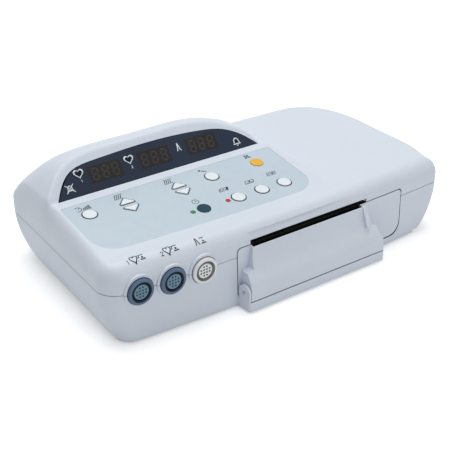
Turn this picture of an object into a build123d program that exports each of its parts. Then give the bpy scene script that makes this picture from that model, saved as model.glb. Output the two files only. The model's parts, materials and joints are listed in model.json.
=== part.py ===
from build123d import *
from math import acos, cos, pi, radians, sin, sqrt, tan
import os

# Fetal monitor: a low desktop unit in two plastic shells. The control panel and its
# display hood are on the left, the chart recorder and its hinged door at the front right.
# Millimetres. +X is the user's right, -Y the front, +Z up. The origin is on the table,
# under the middle of the unit.

# Casing
CASE_HALF_WIDTH = 227.0
CASE_LEFT_X = -227.6
FRONT_Y = -118.8
FRONT_BOW = 8.0
BACK_Y = 139.0
BACK_BOW = 6.0
LEFT_TAPER = 6.6
WALL = 3.0
FLOOR = 3.0
CORNER_FRONT_LEFT = 24.0
CORNER_FRONT_RIGHT = 14.0
CORNER_BACK_RIGHT = 62.0
CORNER_BACK_LEFT = 36.0
LEAST_CORNER = 4.0
PARTING_Z = 59.4
PARTING_GAP = 0.4
TOP_Z = 88.6
SHOULDER_HEIGHT = 20.0
SHOULDER_FRONT = 17.0
SHOULDER_RIGHT = 19.0
SHOULDER_BACK = 37.0
SHOULDER_LEFT = 15.0

# Lower hull and plinth
PLINTH_Z = 2.0
HULL_Z = 6.0
HULL_IN_LEFT = 12.0
HULL_IN_RIGHT = 30.0
HULL_IN_BACK = 36.0
HULL_OUT_FRONT = 2.7
PLINTH_STEP_SIDE = 3.0
PLINTH_STEP_RIGHT = 7.0
PLINTH_STEP_FRONT = 1.0

# Control panel, an inclined plane
PANEL_TILT = 7.0
PANEL_FRONT_Y = -85.7
PANEL_FRONT_Z = 89.0
CONSOLE_LEFT_X = -217.0
CONSOLE_RIGHT_X = 71.0
CONSOLE_BACK_Y = 60.0
CONSOLE_CHAMFER = 7.0
OVERLAY_LEFT_X = -210.5
OVERLAY_RIGHT_X = 61.0
OVERLAY_FRONT_Y = -83.0
OVERLAY_BACK_Y = 11.3
OVERLAY_CORNER = 28.0
OVERLAY_BACK_CORNER = 3.0
OVERLAY_RECESS = 0.6
OVERLAY_THICKNESS = 0.5
OVERLAY_GAP = 0.2

# Keys
KEY_RADIUS = 7.5
KEY_PROUD = 0.7
KEY_GAP = 0.3
KEY_TRAVEL = 0.8
KEY_FLANGE = 1.3
KEY_FLANGE_THICKNESS = 1.2
KEY_STEM_RADIUS = 2.5
KEY_STEM_LENGTH = 1.6
ARROW_HALF_BASE = 9.2
ARROW_HEIGHT = 9.4
ARROW_SPLIT = 5.6
ARROW_CORNER = 1.0
ROW_BACK_Y = -11.0
ROW_FRONT_Y = -59.0
LAMP_RADIUS = 2.8
LAMP_PROUD = 0.5
SWITCH_SIDE = 6.0
SWITCH_HEIGHT = 2.4
KEYPAD_BOARD_MARGIN = 14.0
KEYPAD_FRONT_MARGIN = 9.0
KEYPAD_SCREW_INSET = 6.0
BOARD_THICKNESS = 1.6
BOSS_ROOT = 0.5

# Display hood and window
DISPLAY_SLOPE = 47.0
DISPLAY_FOOT_Y = 22.9
HOOD_RISE = 48.4
HOOD_CREST_Y = 57.0
HOOD_BACK_RADIUS = 48.0
HOOD_BACK_TURN = 60.0
HOOD_START_Y = 9.0
DISPLAY_WALL = 4.5
WINDOW_THICKNESS = 2.0
WINDOW_RECESS = 2.2
WINDOW_GAP = 0.2
DIGITS_GAP = 1.0
DIGITS_WIDTH = 41.0
DIGITS_HEIGHT = 20.0
DIGITS_DEPTH = 7.2
DIGITS_UP = 19.0
DISPLAY_BOARD_SET_BACK = 10.0

# Front sockets
SOCKET_PITCH = 36.7
SOCKET_FIRST_X = -190.8
SOCKET_RADIUS = 14.6
SOCKET_FLANGE = 3.0
SOCKET_SEAT_RADIUS = 18.2
SOCKET_SEAT_PROUD = 0.8
SOCKET_BODY_RADIUS = 12.2
SOCKET_BODY_LENGTH = 24.0
SOCKET_GROOVE_RADIUS = 10.4
SOCKET_GROOVE_DEPTH = 9.0
SOCKET_INSERT_RADIUS = 8.2
SOCKET_INSERT_SET_BACK = 0.8
SOCKET_KEY_WIDTH = 4.0
SOCKET_KEY_SET_BACK = 1.5
SOCKET_CHAMFER = 1.0
SOCKET_HOLE_RADIUS = 0.8
SOCKET_HOLE_DEPTH = 5.0
SOCKET_HOLE_PITCH = 3.4
SOCKET_SEAT_DEPTH = 5.4
SOCKET_NUT_RADIUS = 14.5
SOCKET_NUT_THICKNESS = 4.0

# Recorder door, chute and hinge
PAPER_WIDTH = 152.0
PAPER_SIDE_GAP = 1.1
CHUTE_LEFT_X = -59.6
CHUTE_RIGHT_X = CHUTE_LEFT_X + PAPER_WIDTH + 2 * PAPER_SIDE_GAP
DOOR_LEFT_X = -76.9
DOOR_RIGHT_WING = 65.4
DOOR_RIGHT_X = CHUTE_RIGHT_X + DOOR_RIGHT_WING
DOOR_BOTTOM_Z = 12.0
DOOR_TOP_Z = 70.6
DOOR_GAP = 1.1
DOOR_CORNER_SMALL = 5.0
DOOR_CORNER_LARGE = 15.0
HINGE_Y = -129.2
HINGE_Z = 22.6
PIN_RADIUS = 2.0
PIN_REACH = 9.0
PIN_ROOM = 1.0
PIN_BOSS_RADIUS = 4.8
RUNNING_GAP = 0.08
CHUTE_FLARE = 6.0
CHUTE_STEP_Z = 46.0
CHUTE_WIDE_LEFT_X = -71.6
CHUTE_SKIRT_WING = 20.6
CHUTE_WIDE_RIGHT_X = CHUTE_RIGHT_X + CHUTE_SKIRT_WING
CHUTE_SHOULDER_WING = 14.0
CHUTE_SHOULDER_X = CHUTE_RIGHT_X + CHUTE_SHOULDER_WING
CHUTE_LIP_Y = -122.6
CHUTE_LIP_DROP = 1.8
CHUTE_MID_Y = -128.7
CHUTE_FOOT_Y = -138.3
CHUTE_FOOT_Z = 14.0
CHUTE_STRAIGHT_Z = 24.8
CHUTE_WALL = 1.8
CHUTE_SHOULDER_DROP = 2.0
EAR_THICKNESS = 4.0
EAR_GAP = 0.7
EAR_RADIUS = 8.8
EAR_BACK_Y = -121.3
SMALL_EAR_THICKNESS = 3.0
SMALL_EAR_RADIUS = 4.8
LIP_LEFT_X = -77.0
LIP_RIGHT_WING = 26.0
LIP_RIGHT_X = CHUTE_RIGHT_X + LIP_RIGHT_WING
LIP_FRONT_Y = -139.0
LIP_TOP_Z = 13.0
LIP_CUT = 6.0
LIP_LEAN = 2.4
LIP_NOSE = 1.4
GROOVE_GAP = 0.5
SLOT_TOP_Z = 74.3
SLOT_RIGHT_WING = 8.7
SLOT_RIGHT_X = CHUTE_RIGHT_X + SLOT_RIGHT_WING
VISOR_FOOT_Y = -116.4
VISOR_HEAD_Y = -113.2
VISOR_TOP_Z = 82.4
VISOR_WALL = 2.4

# Recorder
ROLLER_Y = -102.5
ROLLER_Z = 52.0
ROLLER_RADIUS = 7.0
SHAFT_RADIUS = 3.0
SHAFT_OVERHANG = 2.0
BUSH_RADIUS = 5.0
ARM_GAP = 0.5
ARM_THICKNESS = 3.0
ARM_RIM = 2.0
GEAR_MODULE = 1.0
GEAR_WIDTH = 5.0
GEAR_GAP = 1.5
GEAR_BACKLASH = 0.14
GEAR_SPREAD = 0.15
PINION_TEETH = 14
IDLER_TEETH = 40
ROLLER_TEETH = 18
PRESSURE_ANGLE = 20.0
IDLER_ANGLE = -30.0
MOTOR_ANGLE = 57.0
MOTOR_SIDE = 35.0
MOTOR_DEPTH = 23.0
MOTOR_SHAFT_RADIUS = 2.5
MOTOR_HOLE_RADIUS = 4.0
MOTOR_CHAMFER = 4.0
AXLE_COLLAR_RADIUS = 4.0
AXLE_CLIP = 1.2
CHASSIS_SIDE_GAP = 1.4
CHASSIS_LEFT_X = CHUTE_LEFT_X - CHASSIS_SIDE_GAP
CHASSIS_RIGHT_X = CHUTE_RIGHT_X + CHASSIS_SIDE_GAP
CHASSIS_SHEET = 1.5
CHASSIS_FRONT_Y = -93.0
CHASSIS_BACK_Y = 2.0
CHASSIS_TOP_Z = 76.0
CHASSIS_CUT = 9.0
CHASSIS_Z = 8.0
WELL_WALL = 1.8
WELL_TOP_Z = 40.0
WELL_BACK_Y = -4.0
WELL_SIDE_GAP = 0.3
HEAD_THICKNESS = 2.0
HEAD_HALF_HEIGHT = 8.0
HEAT_SINK_DEPTH = 7.0
HEAT_SINK_ROOT = 2.5
HEAT_SINK_EDGE = 1.0
HEAT_SINK_PITCH = 4.2
PIECE_GAP = 0.3

# Boards and rear fittings
MAIN_BOARD_X = (-40.0, 165.0)
MAIN_BOARD_Y = (18.0, 88.0)
MAIN_BOARD_Z = 14.0
SUPPLY_X = (-185.0, -70.0)
SUPPLY_Y = (10.0, 86.0)
SUPPLY_Z = 14.0
# Components as (x, y) on their board, then width, depth and height or radius and height
CHIPS = [(30, 18, 28, 28, 3.5), (75, 20, 18, 18, 3), (110, 18, 20, 14, 3), (150, 22, 36, 16, 9)]
CANS = [(78, 16, 6.5, 25), (78, 32, 6.5, 25), (96, 18, 5, 16), (96, 34, 5, 16)]
HEAT_SINKS = [(74, 48, 30, 6, 26)]
CORE_X = 14.0
CORE_Y = 15.0
CORE_WIDTH = 48.0
CORE_HEIGHT = 36.0
CORE_YOKE = 7.0
CORE_LIMB = 14.0
CORE_WINDOW = 7.0
CORE_OVERHANG = 4.0
SPEAKER_X = -150.0
SPEAKER_Y = -35.0
SPEAKER_RADIUS = 33.0
SPEAKER_DEPTH = 22.0
SPEAKER_RIM_WIDTH = 5.0
SPEAKER_RIM_HEIGHT = 3.0
MAGNET_RADIUS = 17.0
BASKET_DEPTH = 10.0
BASKET_SHEET = 1.5
CONE_DEPTH = 6.0
CONE_NECK = 9.0
CONE_SHEET = 1.0
SURROUND_WIDTH = 2.5
NICHE_X = (-128.0, 50.0)
NICHE_BACK_Y = 108.0
NICHE_Z = (14.0, 56.4)
INLET_X = -98.0
INLET_Z = 35.0
INLET_WIDTH = 27.0
INLET_HEIGHT = 32.0
INLET_FLANGE = 2.0
INLET_RIM = 1.5
MOUTH_WIDTH = 23.6
MOUTH_DROP = 4.0
MOUTH_DEPTH = 15.0
MOUTH_CHAMFER = 3.0
PIN_WIDTH = 2.0
PIN_DROP = -1.5
PIN_SET_BACK = 3.0
EARTH_PIN_UP = 2.0
PIN_PITCH = 7.0
DRAWER_PROUD = 1.0
DATA_DEPTH = 8.0
DATA_FLANGE = (30.8, 12.6, 1.0)
DATA_NOSE = (17.0, 8.4, 5.0)
CONTACT_PITCH = 2.76
CONTACT_ROW_PITCH = 2.84
CONTACT_RADIUS = 0.5
JACK_DEPTH = 10.0
JACK_NOSE = 4.0
JACK_FLANGE = 2.0
JACK_BORE_DEPTH = 8.0
DATA_X = -38.0
MARKER_X = 15.0
MARKER_RADIUS = 5.5
MARKER_BORE = 3.3
DATA_BODY = (19.0, 10.0)
INLET_DEPTH = 20.0
GRILLE_HOLE = 1.8
GRILLE_PITCH = 8.5

# Feet, posts and screws
FOOT_RADIUS = 9.0
FOOT_RECESS = 1.2
FOOT_CHAMFER = 0.6
POST_RADIUS = 5.0
POST_BORE = 1.7
SCREW_SHANK = 1.5
SCREW_HEAD_RADIUS = 3.2
SCREW_HEAD_HEIGHT = 2.2
SCREW_HEAD_Z = 42.0
SCREW_REACH = 10.0
POSTS = [(-203.0, -60.0), (-198.0, 60.0), (-60.0, 92.0), (185.0, -92.0), (184.0, 30.0), (112.0, 96.0)]
BOSS_RADIUS = 3.2
BOSS_INSET = 6.0
SCREW_GRIP = 4.0
HUNG_GRIP = 4.0
SCREW_ROD = 30.0
TAB_WIDTH = 11.0
FIT_GAP = 0.2
FEET = [(-194.0, -94.0), (-185.0, 72.0), (168.0, -94.0), (140.0, 74.0)]

PARTS = {}


def box(x0, x1, y0, y1, z0, z1):
    """Box between pairs of coordinates."""
    return Pos((x0 + x1) / 2, (y0 + y1) / 2, (z0 + z1) / 2) * Box(x1 - x0, y1 - y0, z1 - z0)


def rod_x(x0, x1, y, z, radius):
    """Cylinder along X."""
    return Pos((x0 + x1) / 2, y, z) * Rot(0, 90, 0) * Cylinder(radius, x1 - x0)


def rod_y(y0, y1, x, z, radius):
    """Cylinder along Y."""
    return Pos(x, (y0 + y1) / 2, z) * Rot(90, 0, 0) * Cylinder(radius, y1 - y0)


def rod_z(z0, z1, x, y, radius):
    """Cylinder along Z."""
    return Pos(x, y, (z0 + z1) / 2) * Cylinder(radius, z1 - z0)


def prism_x(points, x0, x1):
    """Outline of (y, z) points drawn out along X."""
    face = Plane((x0, 0, 0), x_dir=(0, 1, 0), z_dir=(1, 0, 0)) * make_face(Polyline(*points, close=True))
    return extrude(face, amount=x1 - x0)


def prism_y(face, y0, y1):
    """Face drawn in (x, z) drawn out along Y."""
    return extrude(Plane((0, y1, 0), x_dir=(1, 0, 0), z_dir=(0, -1, 0)) * face, amount=y1 - y0)


def corner_rounded(points, radii):
    """Closed outline through the points, each corner with its own radius."""
    face = make_face(Polyline(*points, close=True))
    for point, radius in zip(points, radii):
        face = fillet(face.vertices().sort_by_distance((point[0], point[1], 0))[0], radius)
    return face


# Casing outlines

def case_outline(left, right, front, back, z):
    """Plan outline of the casing at height z, drawn in by the four distances."""
    x_left = CASE_LEFT_X + left
    x_right = CASE_HALF_WIDTH - right
    y_front = FRONT_Y + front
    y_back = BACK_Y - back
    middle = (x_left + x_right) / 2
    corners = [
        (x_left, y_front + FRONT_BOW),
        (x_right, y_front + FRONT_BOW),
        (x_right, y_back - BACK_BOW),
        (x_left + LEFT_TAPER, y_back - BACK_BOW),
    ]
    edges = [
        ThreePointArc(corners[0], (middle, y_front), corners[1]),
        Line(corners[1], corners[2]),
        ThreePointArc(corners[2], (middle, y_back), corners[3]),
        Line(corners[3], corners[0]),
    ]
    radii = [
        CORNER_FRONT_LEFT - (left + front) / 2,
        CORNER_FRONT_RIGHT - (right + front) / 2,
        CORNER_BACK_RIGHT - (right + back) / 2,
        CORNER_BACK_LEFT - (left + back) / 2,
    ]
    face = make_face(edges)
    for corner, radius in zip(corners, radii):
        vertex = face.vertices().sort_by_distance((corner[0], corner[1], 0))[0]
        face = fillet(vertex, max(radius, LEAST_CORNER))
    return Pos(0, 0, z) * face


def hull_inset(z):
    """Share of the hull's full draw-in at height z: a parabola, level at the parting line."""
    return ((PARTING_Z - z) / (PARTING_Z - HULL_Z)) ** 2


def hull_section(z, wall):
    share = hull_inset(z)
    lean = (PARTING_Z - z) / (PARTING_Z - HULL_Z)
    return case_outline(
        HULL_IN_LEFT * share + wall,
        HULL_IN_RIGHT * share + wall,
        -HULL_OUT_FRONT * lean + wall,
        HULL_IN_BACK * share + wall,
        z,
    )


def hull_solid(wall):
    """Lower hull from its foot to the parting line, every wall drawn in by wall."""
    steps = 5
    heights = [HULL_Z + (PARTING_Z - HULL_Z) * i / steps for i in range(steps + 1)]
    return loft([hull_section(z, wall) for z in heights])


def shoulder_section(turn, wall):
    """Section of the rounded top edge after a turn in degrees from the vertical wall."""
    inward = 1 - cos(radians(turn))
    rise = SHOULDER_HEIGHT * sin(radians(turn))
    return case_outline(
        SHOULDER_LEFT * inward + wall,
        SHOULDER_RIGHT * inward + wall,
        SHOULDER_FRONT * inward + wall,
        SHOULDER_BACK * inward + wall,
        TOP_Z - SHOULDER_HEIGHT + rise - wall,
    )


def upper_box(wall):
    """Upper casing without console and hood, drawn in by wall."""
    straight = TOP_Z - SHOULDER_HEIGHT - wall - PARTING_Z
    sides = extrude(case_outline(wall, wall, wall, wall, PARTING_Z), amount=straight)
    shoulder = loft([shoulder_section(turn, wall) for turn in range(0, 91, 15)])
    return sides + shoulder


def panel_z(y):
    return PANEL_FRONT_Z + (y - PANEL_FRONT_Y) * tan(radians(PANEL_TILT))


def console_solid(wall):
    """Inclined block that carries the control panel."""
    low = TOP_Z - SHOULDER_HEIGHT
    front = PANEL_FRONT_Y - (PANEL_FRONT_Z - TOP_Z) / tan(radians(PANEL_TILT)) - 12.0
    outline = [
        (front, low),
        (front, panel_z(front) - wall),
        (CONSOLE_BACK_Y, panel_z(CONSOLE_BACK_Y) - wall),
        (CONSOLE_BACK_Y, low),
    ]
    block = prism_x(outline, CONSOLE_LEFT_X + wall, CONSOLE_RIGHT_X - wall)
    top_edges = [
        edge
        for edge in block.edges()
        if abs(edge.tangent_at(0.5).Y) > 0.9 and edge.center().Z > TOP_Z - wall
    ]
    return chamfer(top_edges, CONSOLE_CHAMFER)


# Display hood: the arch across the hood as (x, share of the rise)
HOOD_ARCH = [
    (-226.0, 0.0),
    (-206.0, 0.52),
    (-186.0, 0.84),
    (-165.0, 0.955),
    (-80.0, 1.0),
    (0.0, 0.94),
    (35.0, 0.70),
    (52.0, 0.45),
    (66.0, 0.0),
]
HOOD_CROWN_X = -80.0


def hood_share(y):
    """Share of the hood's rise along Y: level, then round, then straight down to the box."""
    behind = y - HOOD_CREST_Y
    turn_end = HOOD_BACK_RADIUS * sin(radians(HOOD_BACK_TURN))
    if behind <= 0:
        drop = 0.0
    elif behind <= turn_end:
        drop = HOOD_BACK_RADIUS - sqrt(HOOD_BACK_RADIUS**2 - behind**2)
    else:
        drop = HOOD_BACK_RADIUS * (1 - cos(radians(HOOD_BACK_TURN)))
        drop += (behind - turn_end) * tan(radians(HOOD_BACK_TURN))
    return max(0.0, 1 - drop / HOOD_RISE)


def hood_section(y, wall):
    points = []
    for x, share in HOOD_ARCH:
        side = wall if x < HOOD_CROWN_X else -wall
        points.append((x + side, y, TOP_Z + HOOD_RISE * share * hood_share(y) - wall))
    low = TOP_Z - SHOULDER_HEIGHT
    left_low = (points[0][0], y, low)
    right_low = (points[-1][0], y, low)
    arch = Spline(*points)
    foot = Line(right_low, left_low)
    return Face(Wire([arch, Line(points[-1], right_low), foot, Line(left_low, points[0])]))


DISPLAY_FOOT_Z = panel_z(DISPLAY_FOOT_Y)
DISPLAY_UP = (cos(radians(DISPLAY_SLOPE)), sin(radians(DISPLAY_SLOPE)))
DISPLAY_PLANE = Plane(
    (0, DISPLAY_FOOT_Y, DISPLAY_FOOT_Z), x_dir=(1, 0, 0), z_dir=(0, -DISPLAY_UP[1], DISPLAY_UP[0])
)
PANEL_PLANE = Plane(
    (0, PANEL_FRONT_Y, PANEL_FRONT_Z),
    x_dir=(1, 0, 0),
    z_dir=(0, -sin(radians(PANEL_TILT)), cos(radians(PANEL_TILT))),
)


def hood_solid(wall, face_wall):
    """Hood behind the panel, cut off by the sloping display face set back by face_wall."""
    stations = [HOOD_START_Y, 30.0, HOOD_CREST_Y, 72.0, 86.0, 98.0, 106.0, 113.0]
    block = loft([hood_section(y, wall) for y in stations])
    plan = extrude(case_outline(wall, wall, wall, wall, TOP_Z - SHOULDER_HEIGHT), amount=2 * HOOD_RISE)
    reach = 2 * HOOD_RISE
    foot_y = DISPLAY_FOOT_Y + face_wall * DISPLAY_UP[1]
    foot_z = DISPLAY_FOOT_Z - face_wall * DISPLAY_UP[0]
    before_face = prism_x(
        [
            (foot_y - reach * DISPLAY_UP[0] / 2, foot_z - reach * DISPLAY_UP[1] / 2),
            (foot_y + reach * DISPLAY_UP[0], foot_z + reach * DISPLAY_UP[1]),
            (HOOD_START_Y - reach, foot_z + reach * DISPLAY_UP[1]),
            (HOOD_START_Y - reach, foot_z - reach * DISPLAY_UP[1] / 2),
        ],
        -CASE_HALF_WIDTH,
        CASE_HALF_WIDTH,
    )
    return (block & plan) - before_face


def upper_solid(wall, face_wall):
    return upper_box(wall) + console_solid(wall) + hood_solid(wall, face_wall)


# Shells

def plinth_solid():
    """Plinth ring under the hull."""
    base = hull_inset(HULL_Z)
    face = case_outline(
        HULL_IN_LEFT * base + PLINTH_STEP_SIDE,
        HULL_IN_RIGHT * base + PLINTH_STEP_RIGHT,
        -HULL_OUT_FRONT + PLINTH_STEP_FRONT,
        HULL_IN_BACK * base + PLINTH_STEP_SIDE,
        PLINTH_Z,
    )
    return extrude(face, amount=HULL_Z - PLINTH_Z)


def lip_solid(low, high):
    """Base lip in front of the door; its front corners are cut off."""
    points = [
        (LIP_LEFT_X, FRONT_Y + WALL),
        (LIP_LEFT_X + LIP_LEAN, LIP_FRONT_Y + LIP_NOSE),
        (LIP_LEFT_X + LIP_LEAN + LIP_NOSE, LIP_FRONT_Y),
        (LIP_RIGHT_X - LIP_CUT, LIP_FRONT_Y),
        (LIP_RIGHT_X, LIP_FRONT_Y + LIP_CUT),
        (LIP_RIGHT_X + LIP_CUT, FRONT_Y + WALL),
    ]
    return Pos(0, 0, low) * extrude(make_face(Polyline(*points, close=True)), amount=high - low)


def lip_groove():
    """Round groove in the base lip that the chute's foot swings through."""
    reach = sqrt((CHUTE_FOOT_Y - HINGE_Y) ** 2 + (CHUTE_FOOT_Z - HINGE_Z) ** 2) + GROOVE_GAP
    half_gap = EAR_GAP / 2
    return rod_x(CHUTE_WIDE_LEFT_X - half_gap, CHUTE_WIDE_RIGHT_X + half_gap, HINGE_Y, HINGE_Z, reach)


def hinge_ear(x0, x1, radius):
    """Ear on the base lip that carries a hinge pin, cut to the lip's outline."""
    ear = box(x0, x1, HINGE_Y - radius, EAR_BACK_Y, LIP_TOP_Z - WALL, HINGE_Z)
    ear += rod_x(x0, x1, HINGE_Y, HINGE_Z, radius)
    ear -= box(x0, x1, EAR_BACK_Y, FRONT_Y + WALL, LIP_TOP_Z, HINGE_Z + radius)
    ear &= lip_solid(PLINTH_Z, HINGE_Z + 2 * radius)
    return ear - rod_x(x0, x1, HINGE_Y, HINGE_Z, PIN_RADIUS)


def socket_places():
    """Centre x and seat y of the three front sockets, each on the bowed front wall."""
    places = []
    for i in range(3):
        x = SOCKET_FIRST_X + i * SOCKET_PITCH
        wall_y = FRONT_Y + FRONT_BOW * (x / CASE_HALF_WIDTH) ** 2
        places.append((x, wall_y - SOCKET_SEAT_PROUD))
    return places


def socket_seats():
    seats = [rod_y(y, y + SOCKET_SEAT_DEPTH, x, PARTING_Z, SOCKET_SEAT_RADIUS) for x, y in socket_places()]
    return Part() + seats


def socket_bores():
    """Bores for the sockets, with flat faces under the flange and under the nut."""
    bores = Part()
    for x, y in socket_places():
        behind = y + SOCKET_SEAT_DEPTH
        bores += rod_y(y - WALL, behind + WALL, x, PARTING_Z, SOCKET_BODY_RADIUS + PIECE_GAP / 2)
        bores += rod_y(y - WALL, y, x, PARTING_Z, SOCKET_RADIUS + PIECE_GAP)
        bores += rod_y(behind, behind + SOCKET_NUT_THICKNESS, x, PARTING_Z, SOCKET_NUT_RADIUS + PIECE_GAP)
    return bores


def door_face(gap):
    """Door outline in the front wall, drawn in by gap."""
    x0 = DOOR_LEFT_X + gap
    x1 = DOOR_RIGHT_X - gap
    z0 = DOOR_BOTTOM_Z + gap
    z1 = DOOR_TOP_Z - gap
    points = [(x0, z0), (x1, z0), (x1, z1), (x0, z1)]
    radii = [DOOR_CORNER_SMALL, DOOR_CORNER_LARGE, DOOR_CORNER_SMALL, DOOR_CORNER_SMALL]
    return corner_rounded(points, radii)


def door_block(gap):
    return prism_y(door_face(gap), HINGE_Y, FRONT_Y + 2 * FRONT_BOW)


def slot_block():
    """Gap above the door that the paper leaves by."""
    return box(CHUTE_LEFT_X, SLOT_RIGHT_X, HINGE_Y, FRONT_Y + 3 * FRONT_BOW, DOOR_TOP_Z - WALL, SLOT_TOP_Z)


def visor_profile(set_back):
    """Side view of what lies in front of the facet over the slot, moved back by set_back."""
    return [
        (HINGE_Y, SLOT_TOP_Z),
        (VISOR_FOOT_Y + set_back, SLOT_TOP_Z),
        (VISOR_HEAD_Y + set_back, VISOR_TOP_Z),
        (HINGE_Y, VISOR_TOP_Z),
    ]


def visor_block():
    """Shallow facet let into the top shell over the slot."""
    return prism_x(visor_profile(0), CHUTE_LEFT_X, SLOT_RIGHT_X)


def visor_backing():
    """Thicker wall behind the facet."""
    backing = prism_x(visor_profile(VISOR_WALL), CHUTE_LEFT_X - WALL, SLOT_RIGHT_X + WALL)
    return backing & UPPER


def posts(low, high):
    return Part() + [rod_z(low, high, x, y, POST_RADIUS) for x, y in POSTS]


def post_bores(low, high, radius):
    return Part() + [rod_z(low, high, x, y, radius) for x, y in POSTS]


CAVITY_LOW = hull_solid(WALL) + extrude(
    case_outline(
        HULL_IN_LEFT + WALL + PLINTH_STEP_SIDE,
        HULL_IN_RIGHT + WALL + PLINTH_STEP_RIGHT,
        WALL,
        HULL_IN_BACK + WALL + PLINTH_STEP_SIDE,
        PLINTH_Z + FLOOR,
    ),
    amount=HULL_Z,
)
HULL = hull_solid(0) + plinth_solid()
UPPER = upper_solid(0, 0)
CAVITY_HIGH = upper_solid(WALL, DISPLAY_WALL)


def niche():
    """Rear niche for the sockets: its walls and its hollow."""
    x0, x1 = NICHE_X
    z0, z1 = NICHE_Z
    walls = box(x0 - WALL, x1 + WALL, NICHE_BACK_Y - WALL, BACK_Y + WALL, z0 - WALL, z1 + WALL)
    hollow = box(x0, x1, NICHE_BACK_Y, BACK_Y + WALL, z0, z1)
    return walls & HULL, hollow


def build_bottom_shell():
    niche_walls, niche_hollow = niche()
    ear_left_x = CHUTE_WIDE_LEFT_X - EAR_GAP - EAR_THICKNESS
    ear_right_x = CHUTE_WIDE_RIGHT_X + EAR_GAP
    shell = HULL - CAVITY_LOW
    shell += lip_solid(PLINTH_Z, LIP_TOP_Z)
    shell += niche_walls
    shell += posts(PLINTH_Z, PARTING_Z) & HULL
    shell += socket_seats() & box(CASE_LEFT_X, 0, LIP_FRONT_Y, 0, PLINTH_Z, PARTING_Z)
    shell += board_bosses(MAIN_BOARD_X, MAIN_BOARD_Y, MAIN_BOARD_Z)
    shell += board_bosses(SUPPLY_X, SUPPLY_Y, SUPPLY_Z)
    shell += chassis_bosses()
    shell -= door_block(0)
    shell -= lip_groove()
    shell += hinge_ear(ear_left_x, ear_left_x + EAR_THICKNESS, EAR_RADIUS)
    shell += hinge_ear(ear_right_x, ear_right_x + SMALL_EAR_THICKNESS, SMALL_EAR_RADIUS)
    shell -= niche_hollow
    shell -= socket_bores()
    shell -= rear_cutouts()
    shell -= screw_holes()
    shell -= foot_recesses()
    shell -= speaker_grille()
    PARTS["bottom_shell"] = shell


def build_top_shell():
    seam = Pos(0, 0, PARTING_Z + PARTING_GAP / 2) * Box(3 * CASE_HALF_WIDTH, 3 * BACK_Y, PARTING_GAP)
    shell = UPPER - CAVITY_HIGH
    shell += visor_backing()
    shell += socket_seats() & box(CASE_LEFT_X, 0, LIP_FRONT_Y, 0, PARTING_Z, TOP_Z)
    shell -= seam
    shell += posts(PARTING_Z, 2 * TOP_Z) & UPPER
    shell += keypad_bosses()
    shell += display_bosses()
    shell -= door_block(0)
    shell -= slot_block()
    shell -= visor_block()
    shell -= socket_bores()
    shell -= post_bores(PARTING_Z, PARTING_Z + SCREW_REACH + SCREW_SHANK, SCREW_SHANK)
    shell -= overlay_recess()
    shell -= key_holes(KEY_GAP)
    shell -= window_recess()
    shell -= digit_openings()
    PARTS["top_shell"] = shell


# Control panel

def on_panel(x, y, z=0.0):
    """Place on the panel plane: x and y as seen from above, z along its normal."""
    return PANEL_PLANE * Pos(x, (y - PANEL_FRONT_Y) / cos(radians(PANEL_TILT)), z)


def overlay_face(gap):
    scale = cos(radians(PANEL_TILT))
    y0 = (OVERLAY_FRONT_Y - PANEL_FRONT_Y) / scale + gap
    y1 = (OVERLAY_BACK_Y - PANEL_FRONT_Y) / scale - gap
    x0 = OVERLAY_LEFT_X + gap
    x1 = OVERLAY_RIGHT_X - gap
    points = [(x0, y0), (x1, y0), (x1, y1), (x0, y1)]
    radii = [OVERLAY_CORNER, OVERLAY_CORNER, OVERLAY_BACK_CORNER, OVERLAY_BACK_CORNER]
    return corner_rounded(points, radii)


def panel_prism(face, z0, z1):
    """Face drawn in the panel plane, drawn out along the panel normal."""
    return PANEL_PLANE * (Pos(0, 0, z0) * extrude(face, amount=z1 - z0))


def overlay_recess():
    return panel_prism(overlay_face(0), -OVERLAY_RECESS, 5.0)


ROUND_KEYS = {
    "volume_key": (-188.0, ROW_BACK_Y),
    "test_key": (-34.3, ROW_BACK_Y),
    "alarm_silence_key": (28.3, ROW_BACK_Y),
    "power_key": (-77.5, ROW_FRONT_Y),
    "record_key": (-32.1, ROW_FRONT_Y),
    "mark_key": (-0.4, ROW_FRONT_Y),
    "paper_feed_key": (30.7, ROW_FRONT_Y),
}
ARROW_PAIRS = {"setting": (-143.0, -15.2), "reference": (-78.0, -15.2)}
LAMPS = {"power_lamp": (-91.5, ROW_FRONT_Y), "record_lamp": (-46.1, ROW_FRONT_Y)}


def arrow_face(up, grow):
    """Triangle that points to the back (up) or to the front, grown all round by grow."""
    sign = 1 if up else -1
    base = sign * ARROW_SPLIT / 2
    apex = sign * (ARROW_SPLIT / 2 + ARROW_HEIGHT)
    points = [(-ARROW_HALF_BASE, base), (ARROW_HALF_BASE, base), (0, apex)]
    face = corner_rounded(points, [ARROW_CORNER] * 3)
    return offset(face, amount=grow, kind=Kind.ARC) if grow else face


def key_faces(grow):
    """Name, place and face of each key, grown all round by grow."""
    faces = {}
    for name, place in ROUND_KEYS.items():
        faces[name] = (place, Circle(KEY_RADIUS + grow))
    for pair, place in ARROW_PAIRS.items():
        faces[pair + "_up_key"] = (place, arrow_face(True, grow))
        faces[pair + "_down_key"] = (place, arrow_face(False, grow))
    return faces


def key_centre(name):
    """Middle of a key's stem on the panel."""
    if name in ROUND_KEYS:
        return ROUND_KEYS[name]
    pair, way = name.rsplit("_", 2)[0], name.rsplit("_", 2)[1]
    x, y = ARROW_PAIRS[pair]
    shift = ARROW_SPLIT / 2 + ARROW_HEIGHT / 3
    return (x, y + shift if way == "up" else y - shift)


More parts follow.
